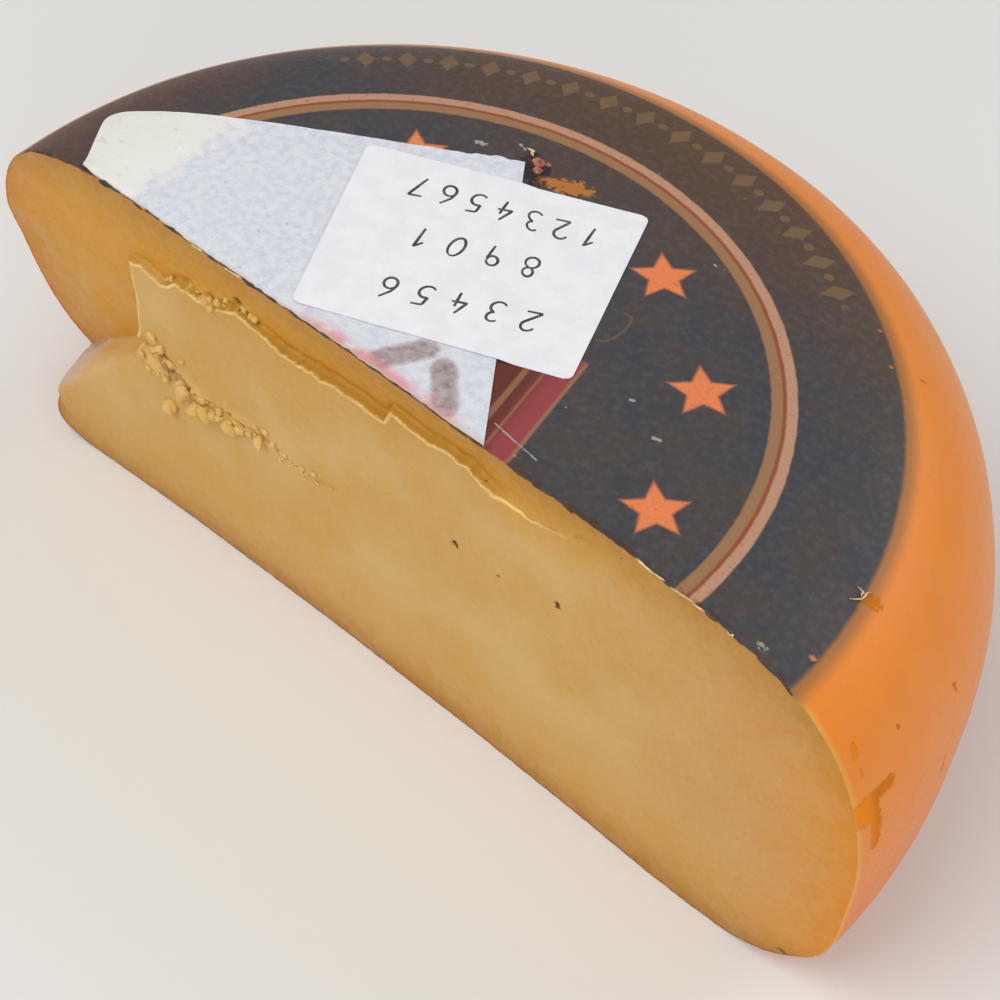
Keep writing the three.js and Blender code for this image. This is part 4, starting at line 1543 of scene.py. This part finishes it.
@dataclass
class WaxEdge:
    """The ragged lip of the coat, which the knife dragged a little over the cut."""

    wheel: Wheel
    cut: CutFace
    step: float = 0.5
    proud: float = 0.18

    def shape(self) -> Shape:
        """A closed strip all round the cut.

        Formula: at each point of the outline a six-sided section is drawn, whose first number
        runs inwards over the cut and whose second runs forwards; its inner end moves in and
        out with two noises.
        """
        loop = self.cut.outline(0.0, self.step)
        tangent = np.roll(loop, -1, axis=0) - np.roll(loop, 1, axis=0)
        tangent /= np.linalg.norm(tangent, axis=1)[:, None]
        inward = np.stack([-tangent[:, 1], tangent[:, 0]], axis=1)
        along = np.arange(len(loop)) * self.step
        on_top = smoothstep(loop[:, 1], self.wheel.height - 9.0, self.wheel.height - 5.0)
        # Where the painted highlight lies along the coat's edge, low on the right.
        on_right = smoothstep(loop[:, 0], 60.0, 90.0) * smoothstep(loop[:, 1], 6.0, 30.0) * (1 - on_top)
        coarse = 0.5 + 0.5 * value_noise(along, 0 * along, 3.1, 51)
        fine = 0.5 + 0.5 * value_noise(along, 0 * along, 0.9, 52)
        width = 0.3 + 0.12 * fine + on_top * (0.6 * coarse ** 3 + 0.15 * fine)
        lift = self.proud * (0.6 + 0.6 * fine)
        one = np.ones(len(loop))
        section = np.array([
            (-0.05 * one, -0.9 * one), (-0.05 * one, 0.5 * lift), (0.12 * one, lift),
            (width - 0.15, 0.9 * lift), (width, 0.02 * one), (width - 0.1, -0.5 * one),
        ]).transpose(2, 0, 1)
        flat = loop[:, None] + section[..., :1] * inward[:, None]
        depth = self.cut.depth(flat[..., 0].ravel(), flat[..., 1].ravel()).reshape(flat.shape[:2])
        body = np.stack([flat[..., 0], depth - section[..., 1], flat[..., 1]], axis=-1)
        sides = body.shape[1]
        number = np.arange(len(loop) * sides).reshape(len(loop), sides)
        ahead = np.roll(number, -1, axis=0)
        quads = np.stack([number, ahead, np.roll(ahead, -1, axis=1), np.roll(number, -1, axis=1)], axis=-1)
        vertices = body.reshape(-1, 3)
        marks = {"cut": np.ones(len(vertices)), "bright": np.repeat(on_right, sides)}
        return Shape(vertices, quads.reshape(-1, 4), marks=marks).outward()


@dataclass
class PaperSheet:
    """The thin paper that lies on the left half of the top, cut through with the cheese."""

    wheel: Wheel
    cut: CutFace
    left_foot: Point = (-78.8, -21.8)
    left_top: Point = (-100.0, 8.0)
    right_top: Point = (-21.8, 57.4)
    right_foot: Point = (31.0, -16.0)
    corner_reach: float = 4.4
    thickness: float = 0.18
    gap: float = 0.06
    columns: int = 190
    rows: int = 100

    def on_cut(self, x: Array) -> Array:
        """The y of the cut's upper edge at x."""
        return self.cut.rim_depth(x, 0.1)

    def borders(self) -> tuple[Array, Array, Array, Array]:
        """The foot, head, left and right edges of the sheet as seen from above."""
        outline = rounded_path((self.left_foot, self.left_top, self.right_top), self.corner_reach, 2001)
        start = int(np.argmax(outline[:, 1] > self.on_cut(outline[:, 0])))
        turn = int(np.argmin(np.hypot(*(outline - self.left_top).T)))
        left = resampled(outline[start:turn + 1], self.rows)
        head = resampled(outline[turn:], self.columns)
        fall = np.linspace(0.0, 1.0, 2001)[:, None]
        slope = np.array(self.right_foot) + fall * (np.array(self.right_top) - self.right_foot)
        start = int(np.argmax(slope[:, 1] > self.on_cut(slope[:, 0])))
        right = resampled(slope[start:], self.rows)
        x = np.linspace(left[0, 0], right[0, 0], self.columns)
        ragged = 0.5 * value_noise(x, 0 * x, 1.1, 61) + 0.5 * value_noise(x, 0 * x, 3.7, 62)
        inside = np.clip(8 * np.minimum(x - x[0], x[-1] - x) / (x[-1] - x[0]), 0.0, 1.0)
        foot = np.stack([x, self.on_cut(x) + (0.3 * ragged - 0.12) * inside], axis=1)
        torn = bell(np.linspace(0, 1, self.columns) - 1.0, 0.16)[:, None]
        head = head + torn * 0.9 * np.stack([
            value_noise(head[:, 0], head[:, 1], 1.5, 63), value_noise(head[:, 0], head[:, 1], 1.3, 64),
        ], axis=1) * (1 - torn ** 8)
        return foot, head, left, right

    def shape(self) -> Shape:
        """The sheet, laid over the wheel's top.

        Formula: a Coons patch: the two blends of opposite edges are added and the blend of the
        four corners is taken away. Its height is the wheel's top, plus slow waves.
        """
        foot, head, left, right = self.borders()
        foot_tip = foot[0]
        u = np.linspace(0.0, 1.0, self.columns)[None, :, None]
        v = np.linspace(0.0, 1.0, self.rows)[:, None, None]
        ruled = (1 - v) * foot[None] + v * head[None] + (1 - u) * left[:, None] + u * right[:, None]
        corners = (1 - u) * ((1 - v) * foot[0] + v * head[0]) + u * ((1 - v) * foot[-1] + v * head[-1])
        plan = ruled - corners
        x, y = plan[..., 0], plan[..., 1]
        low = self.wheel.top_at(x, y) + self.gap
        waves = 0.09 * (1 + value_noise(x, y, 9.0, 66)) + 0.04 * (1 + value_noise(x, y, 3.0, 67))
        edge = np.minimum(np.minimum(u, 1 - u), np.minimum(v, 1 - v))[..., 0] + 0 * x
        low = low + waves * smoothstep(edge, 0.0, 0.06)
        curl = bell(edge, 0.012) * 0.18 * (0.5 + 0.5 * value_noise(x, y, 4.0, 68))
        curl = curl + 0.9 * bell(np.hypot(x - foot_tip[0], y - foot_tip[1]), 2.4)
        top = np.stack([x, y, low + curl + self.thickness], axis=-1)
        marks = {"torn": bell(v[..., 0] + 0 * x, 0.012)}
        return thick_sheet(top, np.stack([x, y, low + curl], axis=-1), marks)


@dataclass
class PenLabel:
    """The white label with rounded corners, which lies over the paper's edge."""

    wheel: Wheel
    sheet: PaperSheet
    corners: tuple[Point, ...] = ((8.2, 63.3), (-49.2, 37.2), (26.9, 15.6), (-27.2, -8.0))
    length: float = 62.5
    width: float = 51.5
    corner: float = 1.8
    thickness: float = 0.14
    columns: int = 130
    rows: int = 104

    def axes(self) -> tuple[Array, Array]:
        """The directions of its length, in which its lines are read, and of its width, seen from above."""
        first, second, third, _ = (np.array(corner) for corner in self.corners)
        along, down = second - first, third - first
        return along / np.linalg.norm(along), down / np.linalg.norm(down)

    def seat(self, x: Array, y: Array) -> Array:
        """The height that the label rests on: the paper, and the wax beyond it."""
        corner = np.array(self.sheet.right_top)
        past = []
        for axis, other in enumerate((self.sheet.right_foot, self.sheet.left_top)):
            along = corner - other
            normal = np.array([along[1], -along[0]]) / np.linalg.norm(along)
            normal *= np.sign(normal[axis])
            past.append((x - corner[0]) * normal[0] + (y - corner[1]) * normal[1])
        beyond = smoothstep(np.maximum(*past), -0.5, 4.5)
        over = self.sheet.gap + self.sheet.thickness + 0.3
        return self.wheel.top_at(x, y) + mixed(over, 0.07, beyond)

    def shape(self) -> Shape:
        """The label as a closed sheet.

        Formula: a blend of its four corners. Rows run across it, and the rows within the
        corner's radius of an end are shortened by that radius less the root of its square less
        the distance squared.
        """
        r = self.corner
        b = np.linspace(0.0, 1.0, self.rows)
        b = self.width * (b - 0.035 * np.sin(2 * math.pi * b) / math.pi)
        near = np.clip(r - np.minimum(b, self.width - b), 0.0, r)
        short = r - np.sqrt(np.maximum(r ** 2 - near ** 2, 0.0))
        t = np.linspace(0.0, 1.0, self.columns)
        a = short[:, None] + (self.length - 2 * short)[:, None] * t
        across, down = (a / self.length)[..., None], (b / self.width)[:, None, None]
        first, second, third, last = (np.array(corner) for corner in self.corners)
        plan = mixed(mixed(first, second, across), mixed(third, last, across), down)
        x, y = plan[..., 0], plan[..., 1]
        y = np.maximum(y, self.sheet.on_cut(x.ravel()).reshape(x.shape) + 0.25)
        down = np.stack([x, y, self.underside(x, y)], axis=-1)
        return thick_sheet(down + (0.0, 0.0, self.thickness), down, {})

    def underside(self, x: Array, y: Array) -> Array:
        """The height of the label's underside over a place: its seat and slow waves."""
        return self.seat(x, y) + 0.05 * (1 + value_noise(x, y, 11.0, 71))

    def top_at(self, x: Array, y: Array) -> Array:
        """The height of the label's face over a place."""
        return self.underside(x, y) + self.thickness


@dataclass
class PenNumbers:
    """Plain numbers in pen: counting upwards, in three lines."""

    label: PenLabel
    lines: tuple[tuple[str, Point, Point], ...] = (
        ("1234567", (3.2, 49.5), (-31.8, 35.0)),
        ("8901", (0.2, 33.8), (-21.3, 23.8)),
        ("23456", (10.5, 22.2), (-15.9, 8.5)),
    )
    height: float = 6.2
    stroke: float = 0.37

    @staticmethod
    def arc(centre: Point, radii: Point, start: float, end: float) -> Array:
        """Part of an ellipse, between two angles in degrees."""
        angle = np.radians(np.linspace(start, end, 18))
        return np.column_stack([centre[0] + radii[0] * np.cos(angle), centre[1] + radii[1] * np.sin(angle)])

    @staticmethod
    def line(*points: Point) -> Array:
        """Straight runs from point to point."""
        return np.array(points, float)

    @staticmethod
    def join(*pieces: Array) -> Array:
        """Several pieces drawn without lifting the pen."""
        return np.concatenate(pieces)

    def strokes(self, digit: str) -> list[Array]:
        """The strokes of a digit, in a box 0.6 wide and 1 high."""
        arc, line, join = self.arc, self.line, self.join
        return {
            "0": [arc((0.3, 0.5), (0.25, 0.46), 70, 425)],
            "1": [line((0.12, 0.7), (0.36, 0.97), (0.3, 0.02))],
            "2": [join(arc((0.29, 0.73), (0.23, 0.24), 165, -35), line((0.06, 0.05), (0.58, 0.09)))],
            "3": [join(arc((0.27, 0.75), (0.2, 0.22), 145, -80),
                       arc((0.26, 0.28), (0.25, 0.26), 85, -145))],
            "4": [line((0.34, 0.98), (0.06, 0.42), (0.56, 0.46)), line((0.42, 0.68), (0.36, 0.0))],
            "5": [join(line((0.52, 0.96), (0.17, 0.92), (0.13, 0.55)),
                       arc((0.26, 0.31), (0.26, 0.28), 120, -140))],
            "6": [join(line((0.46, 0.98), (0.16, 0.62)), arc((0.29, 0.27), (0.23, 0.26), 165, 510))],
            "7": [line((0.08, 0.92), (0.54, 0.96), (0.22, 0.0))],
            "8": [arc((0.31, 0.75), (0.18, 0.22), -80, 275), arc((0.29, 0.27), (0.24, 0.26), 85, 440)],
            "9": [join(arc((0.28, 0.72), (0.2, 0.23), 5, 360), line((0.47, 0.6), (0.36, 0.0)))],
        }[digit]

    def shape(self) -> Shape:
        """Every stroke as a flat strip that swells and thins along its length, on the label's face."""
        reading, up = self.label.axes()
        section = np.array([(-1, -0.03), (-0.7, 0.09), (0.0, 0.13), (0.7, 0.09), (1, -0.03)], float)
        section *= (1.0, 0.6)
        shapes = []
        for row, (digits, start, end) in enumerate(self.lines):
            places = np.linspace(start, end, len(digits))
            slant = np.random.default_rng(80 + row).uniform(-0.12, 0.12, len(digits))
            for digit, place, lean in zip(digits, places, slant):
                for stroke in self.strokes(digit):
                    plan = resampled(stroke, 26) - (0.3, 0.5)
                    plan[:, 0] += lean * plan[:, 1]
                    flat = place + self.height * (plan[:, :1] * reading + plan[:, 1:] * up)
                    path = np.column_stack([flat, self.label.top_at(*flat.T)])
                    lift = np.tile((0.0, 0.0, 1.0), (len(path), 1))
                    across = np.cross(directions(path), lift)
                    swell = self.stroke * (0.75 + 0.25 * np.sin(np.linspace(0.0, math.pi, len(path))))
                    shapes.append(carried_section(path, across, lift, section, swell))
        return Shape.joined(shapes)


@dataclass
class Crumbs:
    """Crumbs of the paste that stick along the crack and the torn ridge."""

    cut: CutFace
    large: tuple[tuple[float, float, float], ...] = (
        (-66.1, 42.2, 2.3), (-60.4, 51.6, 1.9), (-57.1, 48.2, 1.7), (-54.3, 49.0, 1.5), (-63.1, 52.8, 1.5),
        (-65.9, 52.3, 1.3), (-67.0, 54.3, 1.3), (-68.7, 56.0, 1.2), (-62.7, 47.3, 0.9), (-46.0, 50.6, 1.6),
        (-43.2, 51.8, 1.1), (-36.9, 52.9, 1.3), (-35.3, 57.2, 0.8), (-40.5, 52.5, 0.8), (-49.5, 51.2, 0.9),
        (-51.9, 49.8, 1.1), (-33.2, 54.9, 0.7), (-29.8, 53.7, 0.5), (-24.6, 53.5, 0.5), (-21.1, 54.4, 0.5),
        (-64.4, 57.3, 0.8), (-60.8, 61.0, 0.7), (-70.9, 56.7, 0.9), (-67.3, 60.4, 1.1), (-70.3, 62.4, 0.9),
    )
    small_count: int = 44
    ridge_count: int = 20

    def seeds(self) -> tuple[Array, Array]:
        """Where the crumbs are, as (x, z), and their radii: the large ones, then two seeded rows."""
        draw = np.random.default_rng(91)
        share = draw.uniform(0.0, 1.0, self.small_count) ** 1.4
        chain = resampled(np.array(self.cut.crack, float), 200)
        spread = np.column_stack([0.8 + 0 * share, 1.7 * (1.15 - share)])
        row = chain[(share * 199).astype(int)] + draw.normal(0.0, 1.0, (self.small_count, 2)) * spread
        row[:, 1] -= 1.2 * (1.1 - share)
        ridge = np.array([p for p in self.cut.ridge if -66.0 < p[0] < -30.0], float)
        ridge = resampled(ridge, 200)[draw.integers(0, 200, self.ridge_count)]
        ridge = ridge + draw.normal(0.0, 1.0, (self.ridge_count, 2)) * (0.5, 0.8) + (0.0, 0.8)
        places = np.concatenate([np.array(self.large)[:, :2], row, ridge])
        radii = np.concatenate([
            np.array(self.large)[:, 2], draw.uniform(0.25, 0.95, self.small_count) * (1.2 - 0.75 * share),
            draw.uniform(0.25, 0.95, self.ridge_count),
        ])
        return places, radii

    def shape(self) -> Shape:
        """All the crumbs at once.

        Formula: each crumb is a ball cut flat by six seeded planes, which move what lies beyond
        them back along their direction. It is stretched, turned about the y axis and set on the cut.
        """
        places, radii = self.seeds()
        draw = np.random.default_rng(92)
        lump = ball(9, 14)
        count = len(places)
        planes = draw.normal(0.0, 1.0, (count, 6, 3))
        planes /= np.linalg.norm(planes, axis=2)[..., None]
        broken = np.repeat(lump.vertices[None], count, axis=0)
        for plane in range(planes.shape[1]):
            direction = planes[:, plane]
            beyond = np.maximum(np.einsum("cvi,ci->cv", broken, direction) - 0.75, 0.0)
            broken = broken - beyond[..., None] * direction[:, None]
        stretch = draw.uniform(0.7, 1.35, (count, 1, 3)) * (1.25, 0.9, 0.95)
        turn = draw.uniform(-1.1, 0.3, count)[:, None]
        grown = broken * stretch * 1.1 * radii[:, None, None]
        shake = value_noise(lump.vertices[:, 0] * 2.0 + np.arange(count)[:, None] * 7.3,
                            lump.vertices[:, 1] * 2.0 + lump.vertices[:, 2] * 1.7, 0.8, 93)
        grown = grown * (1 + 0.2 * shake[..., None])
        x = grown[..., 0] * np.cos(turn) - grown[..., 2] * np.sin(turn)
        z = grown[..., 0] * np.sin(turn) + grown[..., 2] * np.cos(turn)
        depth = self.cut.depth(places[:, 0], places[:, 1])
        vertices = np.stack([
            x + places[:, :1], grown[..., 1] + (depth - 0.4 * radii)[:, None], z + places[:, 1:],
        ], axis=-1).reshape(-1, 3)
        starts = np.arange(count)[:, None, None] * len(lump.vertices)
        marks = {"rim": np.full(len(vertices), 0.7)}
        return Shape(vertices, (lump.quads + starts).reshape(-1, 4),
                     (lump.triangles + starts).reshape(-1, 3), marks)


@dataclass
class EdgeScraps:
    """Shreds that hang on the cut's upper edge: dark ones of film, and pale slivers of wax and cheese."""

    wheel: Wheel
    cut: CutFace
    dark: tuple[tuple[float, float, float], ...] = (
        (-102.5, 3.0, 0.7), (-99.0, 4.5, 0.8), (-96.0, 3.0, 0.6), (-92.7, 3.4, 0.7), (-80.2, 3.6, 1.5),
        (-69.8, 2.8, 0.6), (-60.0, 4.2, 0.5), (-47.3, 3.4, 0.6), (-35.7, 5.2, 0.6), (-31.0, 3.0, 0.5),
        (-23.0, 3.6, 0.5), (36.0, 4.4, 0.5), (41.0, 5.2, 0.55), (47.5, 3.0, 0.5), (82.5, 2.6, 0.6),
        (88.0, 3.8, 0.6), (95.5, 4.6, 0.7), (100.5, 3.0, 0.6),
    )
    pale: tuple[tuple[float, float, float], ...] = (
        (66.5, 4.6, 0.55), (70.0, 3.0, 0.4), (75.5, 5.4, 0.45), (79.5, 3.0, 0.4), (-41.5, 5.2, 0.5),
        (-52.0, 3.4, 0.4), (87.0, 1.6, 0.8),
    )

    def strips(self, rows: tuple[tuple[float, float, float], ...], seed: int) -> Shape:
        """Bent tapering shreds along the edge.

        Args:
            rows: for each, the x of its middle, its length and its width.
            seed: draws how each one bends and leans.

        Returns:
            All of them joined.
        """
        draw = np.random.default_rng(seed)
        section = np.array([
            (-0.5, 0.0), (-0.3, 0.16), (0.3, 0.18), (0.5, 0.0), (0.2, -0.14), (-0.2, -0.14),
        ])
        shapes = []
        for middle, length, width in rows:
            t = np.linspace(-0.5, 0.5, 12)
            x = middle + t * length
            lean, bend = draw.uniform(-0.25, 0.25), draw.uniform(-0.5, 0.5)
            edge = self.cut.rim_depth(x, 0.2)
            fall = 0.25 + lean * t * length * 0.6 + bend * (t ** 2 - 0.1)
            z = self.wheel.top_at(x, edge) - np.clip(fall, -0.1, 1.6)
            path = np.column_stack([x, edge - 0.2 - 0.12 * np.abs(t), z])
            across = np.tile((0.0, 0.5, 0.87), (len(x), 1))
            lift = np.tile((0.0, -0.87, 0.5), (len(x), 1))
            taper = width * np.sqrt(np.maximum(1 - (2 * t) ** 2, 0.03))
            taper *= 1 + 0.25 * value_noise(x, 0 * x, 0.7, seed)
            shapes.append(carried_section(path, across, lift, section, taper))
        return Shape.joined(shapes)


@dataclass
class SurfaceBits:
    """Loose bits on the top: a scrap by the paper, a curled fibre at a peel, and pale blobs."""

    wheel: Wheel
    blobs: tuple[tuple[float, float, float], ...] = (
        (-19.5, 59.4, 1.7), (-18.2, 57.4, 1.2), (-17.9, 60.4, 0.8), (100.1, -1.6, 0.9),
    )
    fibres: tuple[tuple[Point, Point, float], ...] = (
        ((97.2, 13.6), (99.8, 18.6), 0.2), ((96.6, 17.0), (99.2, 16.0), 0.16),
        ((-24.6, 61.2), (-21.2, 60.2), 0.42),
    )

    def lumps(self) -> Shape:
        """The blobs: flattened balls with noise, resting on the top."""
        lump = ball(9, 14)
        shapes = []
        for index, (x, y, radius) in enumerate(self.blobs):
            across = lump.vertices[:, 0] * 2 + 9 * index
            shake = 1 + 0.25 * value_noise(across, lump.vertices[:, 1] * 2, 0.7, 95)
            grown = lump.vertices * shake[:, None] * radius * (1.0, 0.8, 0.4)
            height = float(self.wheel.top_at(np.array([x]), np.array([y]))[0])
            shapes.append(Shape(grown + (x, y, height + 0.1 * radius), lump.quads, lump.triangles))
        return Shape.joined(shapes)

    def curls(self) -> Shape:
        """The fibres: thin strips on a low arch between two points."""
        section = np.array([(1.0, 0.0), (0.3, 0.6), (-0.6, 0.5), (-1.0, 0.0), (-0.4, -0.5), (0.5, -0.5)])
        shapes = []
        for start, end, width in self.fibres:
            t = np.linspace(0.0, 1.0, 20)
            plan = np.array(start) + t[:, None] * (np.array(end) - start)
            plan[:, 0] += 0.7 * np.sin(t * math.pi * 1.6)
            path = np.column_stack([plan, self.wheel.top_at(*plan.T) + 0.2 + 0.7 * np.sin(t * math.pi)])
            tangent = directions(path)
            across = np.cross(tangent, (0.0, 0.0, 1.0))
            across /= np.linalg.norm(across, axis=1)[:, None]
            taper = width * np.sqrt(np.maximum(np.sin(t * math.pi), 0.05))
            shapes.append(carried_section(path, across, np.cross(across, tangent), section, taper))
        return Shape.joined(shapes)


@dataclass(frozen=True)
class Studio:
    """The camera at the photograph's viewing angle, a pale floor and soft lights."""

    eye: tuple[float, float, float] = (0.19949, -0.28568, 0.41998)
    heading: float = 37.52
    elevation: float = 49.98
    roll: float = 5.47
    lens: float = 79.6
    floor_half: float = 4.0

    def camera(self) -> None:
        """Looks down at the heading and elevation, in degrees, and tips the picture by the roll."""
        data = bpy.data.cameras.new("camera")
        data.lens = self.lens
        data.sensor_width = 36.0
        data.clip_start = 0.01
        made = linked("camera", data)
        turn = Matrix.Rotation(math.radians(self.heading), 4, "Z")
        tilt = Matrix.Rotation(math.radians(90.0 - self.elevation), 4, "X")
        tip = Matrix.Rotation(math.radians(self.roll), 4, "Z")
        made.matrix_world = Matrix.Translation(self.eye) @ turn @ tilt @ tip
        bpy.context.scene.camera = made

    def floor(self) -> None:
        """A plain pale floor."""
        h = self.floor_half
        mesh = bpy.data.meshes.new("floor")
        mesh.from_pydata([(-h, -h, 0), (h, -h, 0), (h, h, 0), (-h, h, 0)], [], [(0, 1, 2, 3)])
        made = linked("floor", mesh)
        material = bpy.data.materials.new("floor")
        material.use_nodes = True
        shader = material.node_tree.nodes["Principled BSDF"]
        shader.inputs["Base Color"].default_value = srgb(238, 238, 236)
        shader.inputs["Roughness"].default_value = 0.9
        mesh.materials.append(material)

    def lamp(self, name: str, place: tuple[float, float, float], size: float, watts: float,
             tint: tuple[float, float, float]) -> None:
        """A square soft light that faces the cheese."""
        data = bpy.data.lights.new(name, "AREA")
        data.shape = "SQUARE"
        data.size = size
        data.energy = watts
        data.color = tint
        made = linked(name, data)
        aim = Vector((0.0, 0.0, 0.05)) - Vector(place)
        made.matrix_world = Matrix.Translation(place) @ aim.to_track_quat("-Z", "Y").to_matrix().to_4x4()

    def build(self) -> None:
        """Sets up everything round the object."""
        self.camera()
        self.floor()
        world = bpy.data.worlds.new("studio")
        world.use_nodes = True
        world.node_tree.nodes["Background"].inputs[0].default_value = (1.0, 1.0, 1.0, 1.0)
        world.node_tree.nodes["Background"].inputs[1].default_value = 0.37
        bpy.context.scene.world = world
        self.lamp("key", (-0.35, -0.75, 1.25), 1.1, 10.6, (1.0, 0.985, 0.96))
        self.lamp("fill", (0.95, -0.75, 0.75), 1.2, 4.6, (0.97, 0.985, 1.0))
        self.lamp("back", (0.6, 1.1, 0.9), 1.0, 4.6, (1.0, 1.0, 1.0))
        bpy.context.scene.view_settings.view_transform = "Standard"


@dataclass
class HalfWheel:
    """Builds every piece of the half wheel and hands each to the frame."""

    wheel: Wheel

    def piece(self, name: str, shape: Shape, material: bpy.types.Material, slot: Slot,
              replaces: str | None = None, crease: float = 50.0) -> None:
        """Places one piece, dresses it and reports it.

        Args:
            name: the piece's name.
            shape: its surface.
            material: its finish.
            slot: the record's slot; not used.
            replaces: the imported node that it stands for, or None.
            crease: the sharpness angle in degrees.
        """
        made = shape.placed(name, self.wheel.axis_y, crease)
        made.data.materials.append(material)
        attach(made, "root")
        if replaces:
            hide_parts(replaces)
        LOG.info("%s: %d triangles", name, len(shape.as_triangles()))

    def build(self) -> None:
        """Builds the cheese first, then what lies on it."""
        wheel = self.wheel
        cut = CutFace(wheel)
        effects = Effects(wheel.axis_y)
        paste, wax = PasteFinish(effects).make(), WaxFinish(effects).make()
        self.piece("cheese_paste", PasteBody(wheel, cut).shape(), paste, Slot.CHEESE, "cheese", 70.0)
        self.piece("wax_coat", WaxCoat(wheel, cut).shape(), wax, Slot.CHEESE, "cheese")
        self.piece("wax_edge", WaxEdge(wheel, cut).shape(), wax, Slot.CHEESE)
        self.piece("crumbs", Crumbs(cut).shape(), paste, Slot.CHEESE, crease=55.0)
        scraps = EdgeScraps(wheel, cut)
        film = ScrapFinish(effects).make()
        pale = ScrapFinish(effects, "pale slivers", srgb(238, 220, 178), srgb(214, 176, 110)).make()
        rusty = ScrapFinish(effects, "loose bits", srgb(140, 68, 50), srgb(196, 128, 104)).make()
        self.piece("film_scraps", scraps.strips(scraps.dark, 97), film, Slot.CHEESE)
        self.piece("pale_slivers", scraps.strips(scraps.pale, 98), pale, Slot.CHEESE)
        bits = SurfaceBits(wheel)
        self.piece("loose_bits", bits.lumps(), rusty, Slot.CHEESE)
        self.piece("curled_fibres", bits.curls(), pale, Slot.CHEESE)
        sheet = PaperSheet(wheel, cut)
        self.piece("printed_paper", sheet.shape(), PaperFinish(effects).make(), Slot.PAPER, "paper_sheet")
        label = PenLabel(wheel, sheet)
        self.piece("white_label", label.shape(), LabelFinish(effects).make(), Slot.LABEL, "pen_label")
        self.piece("pen_numbers", PenNumbers(label).shape(), InkFinish(effects).make(), Slot.LABEL)


def main() -> None:
    """Builds the studio and the half wheel."""
    logging.basicConfig(level=logging.INFO, format="%(name)s: %(message)s")
    Studio().build()
    HalfWheel(Wheel.from_frame()).build()


if __name__ == "__main__":
    main()
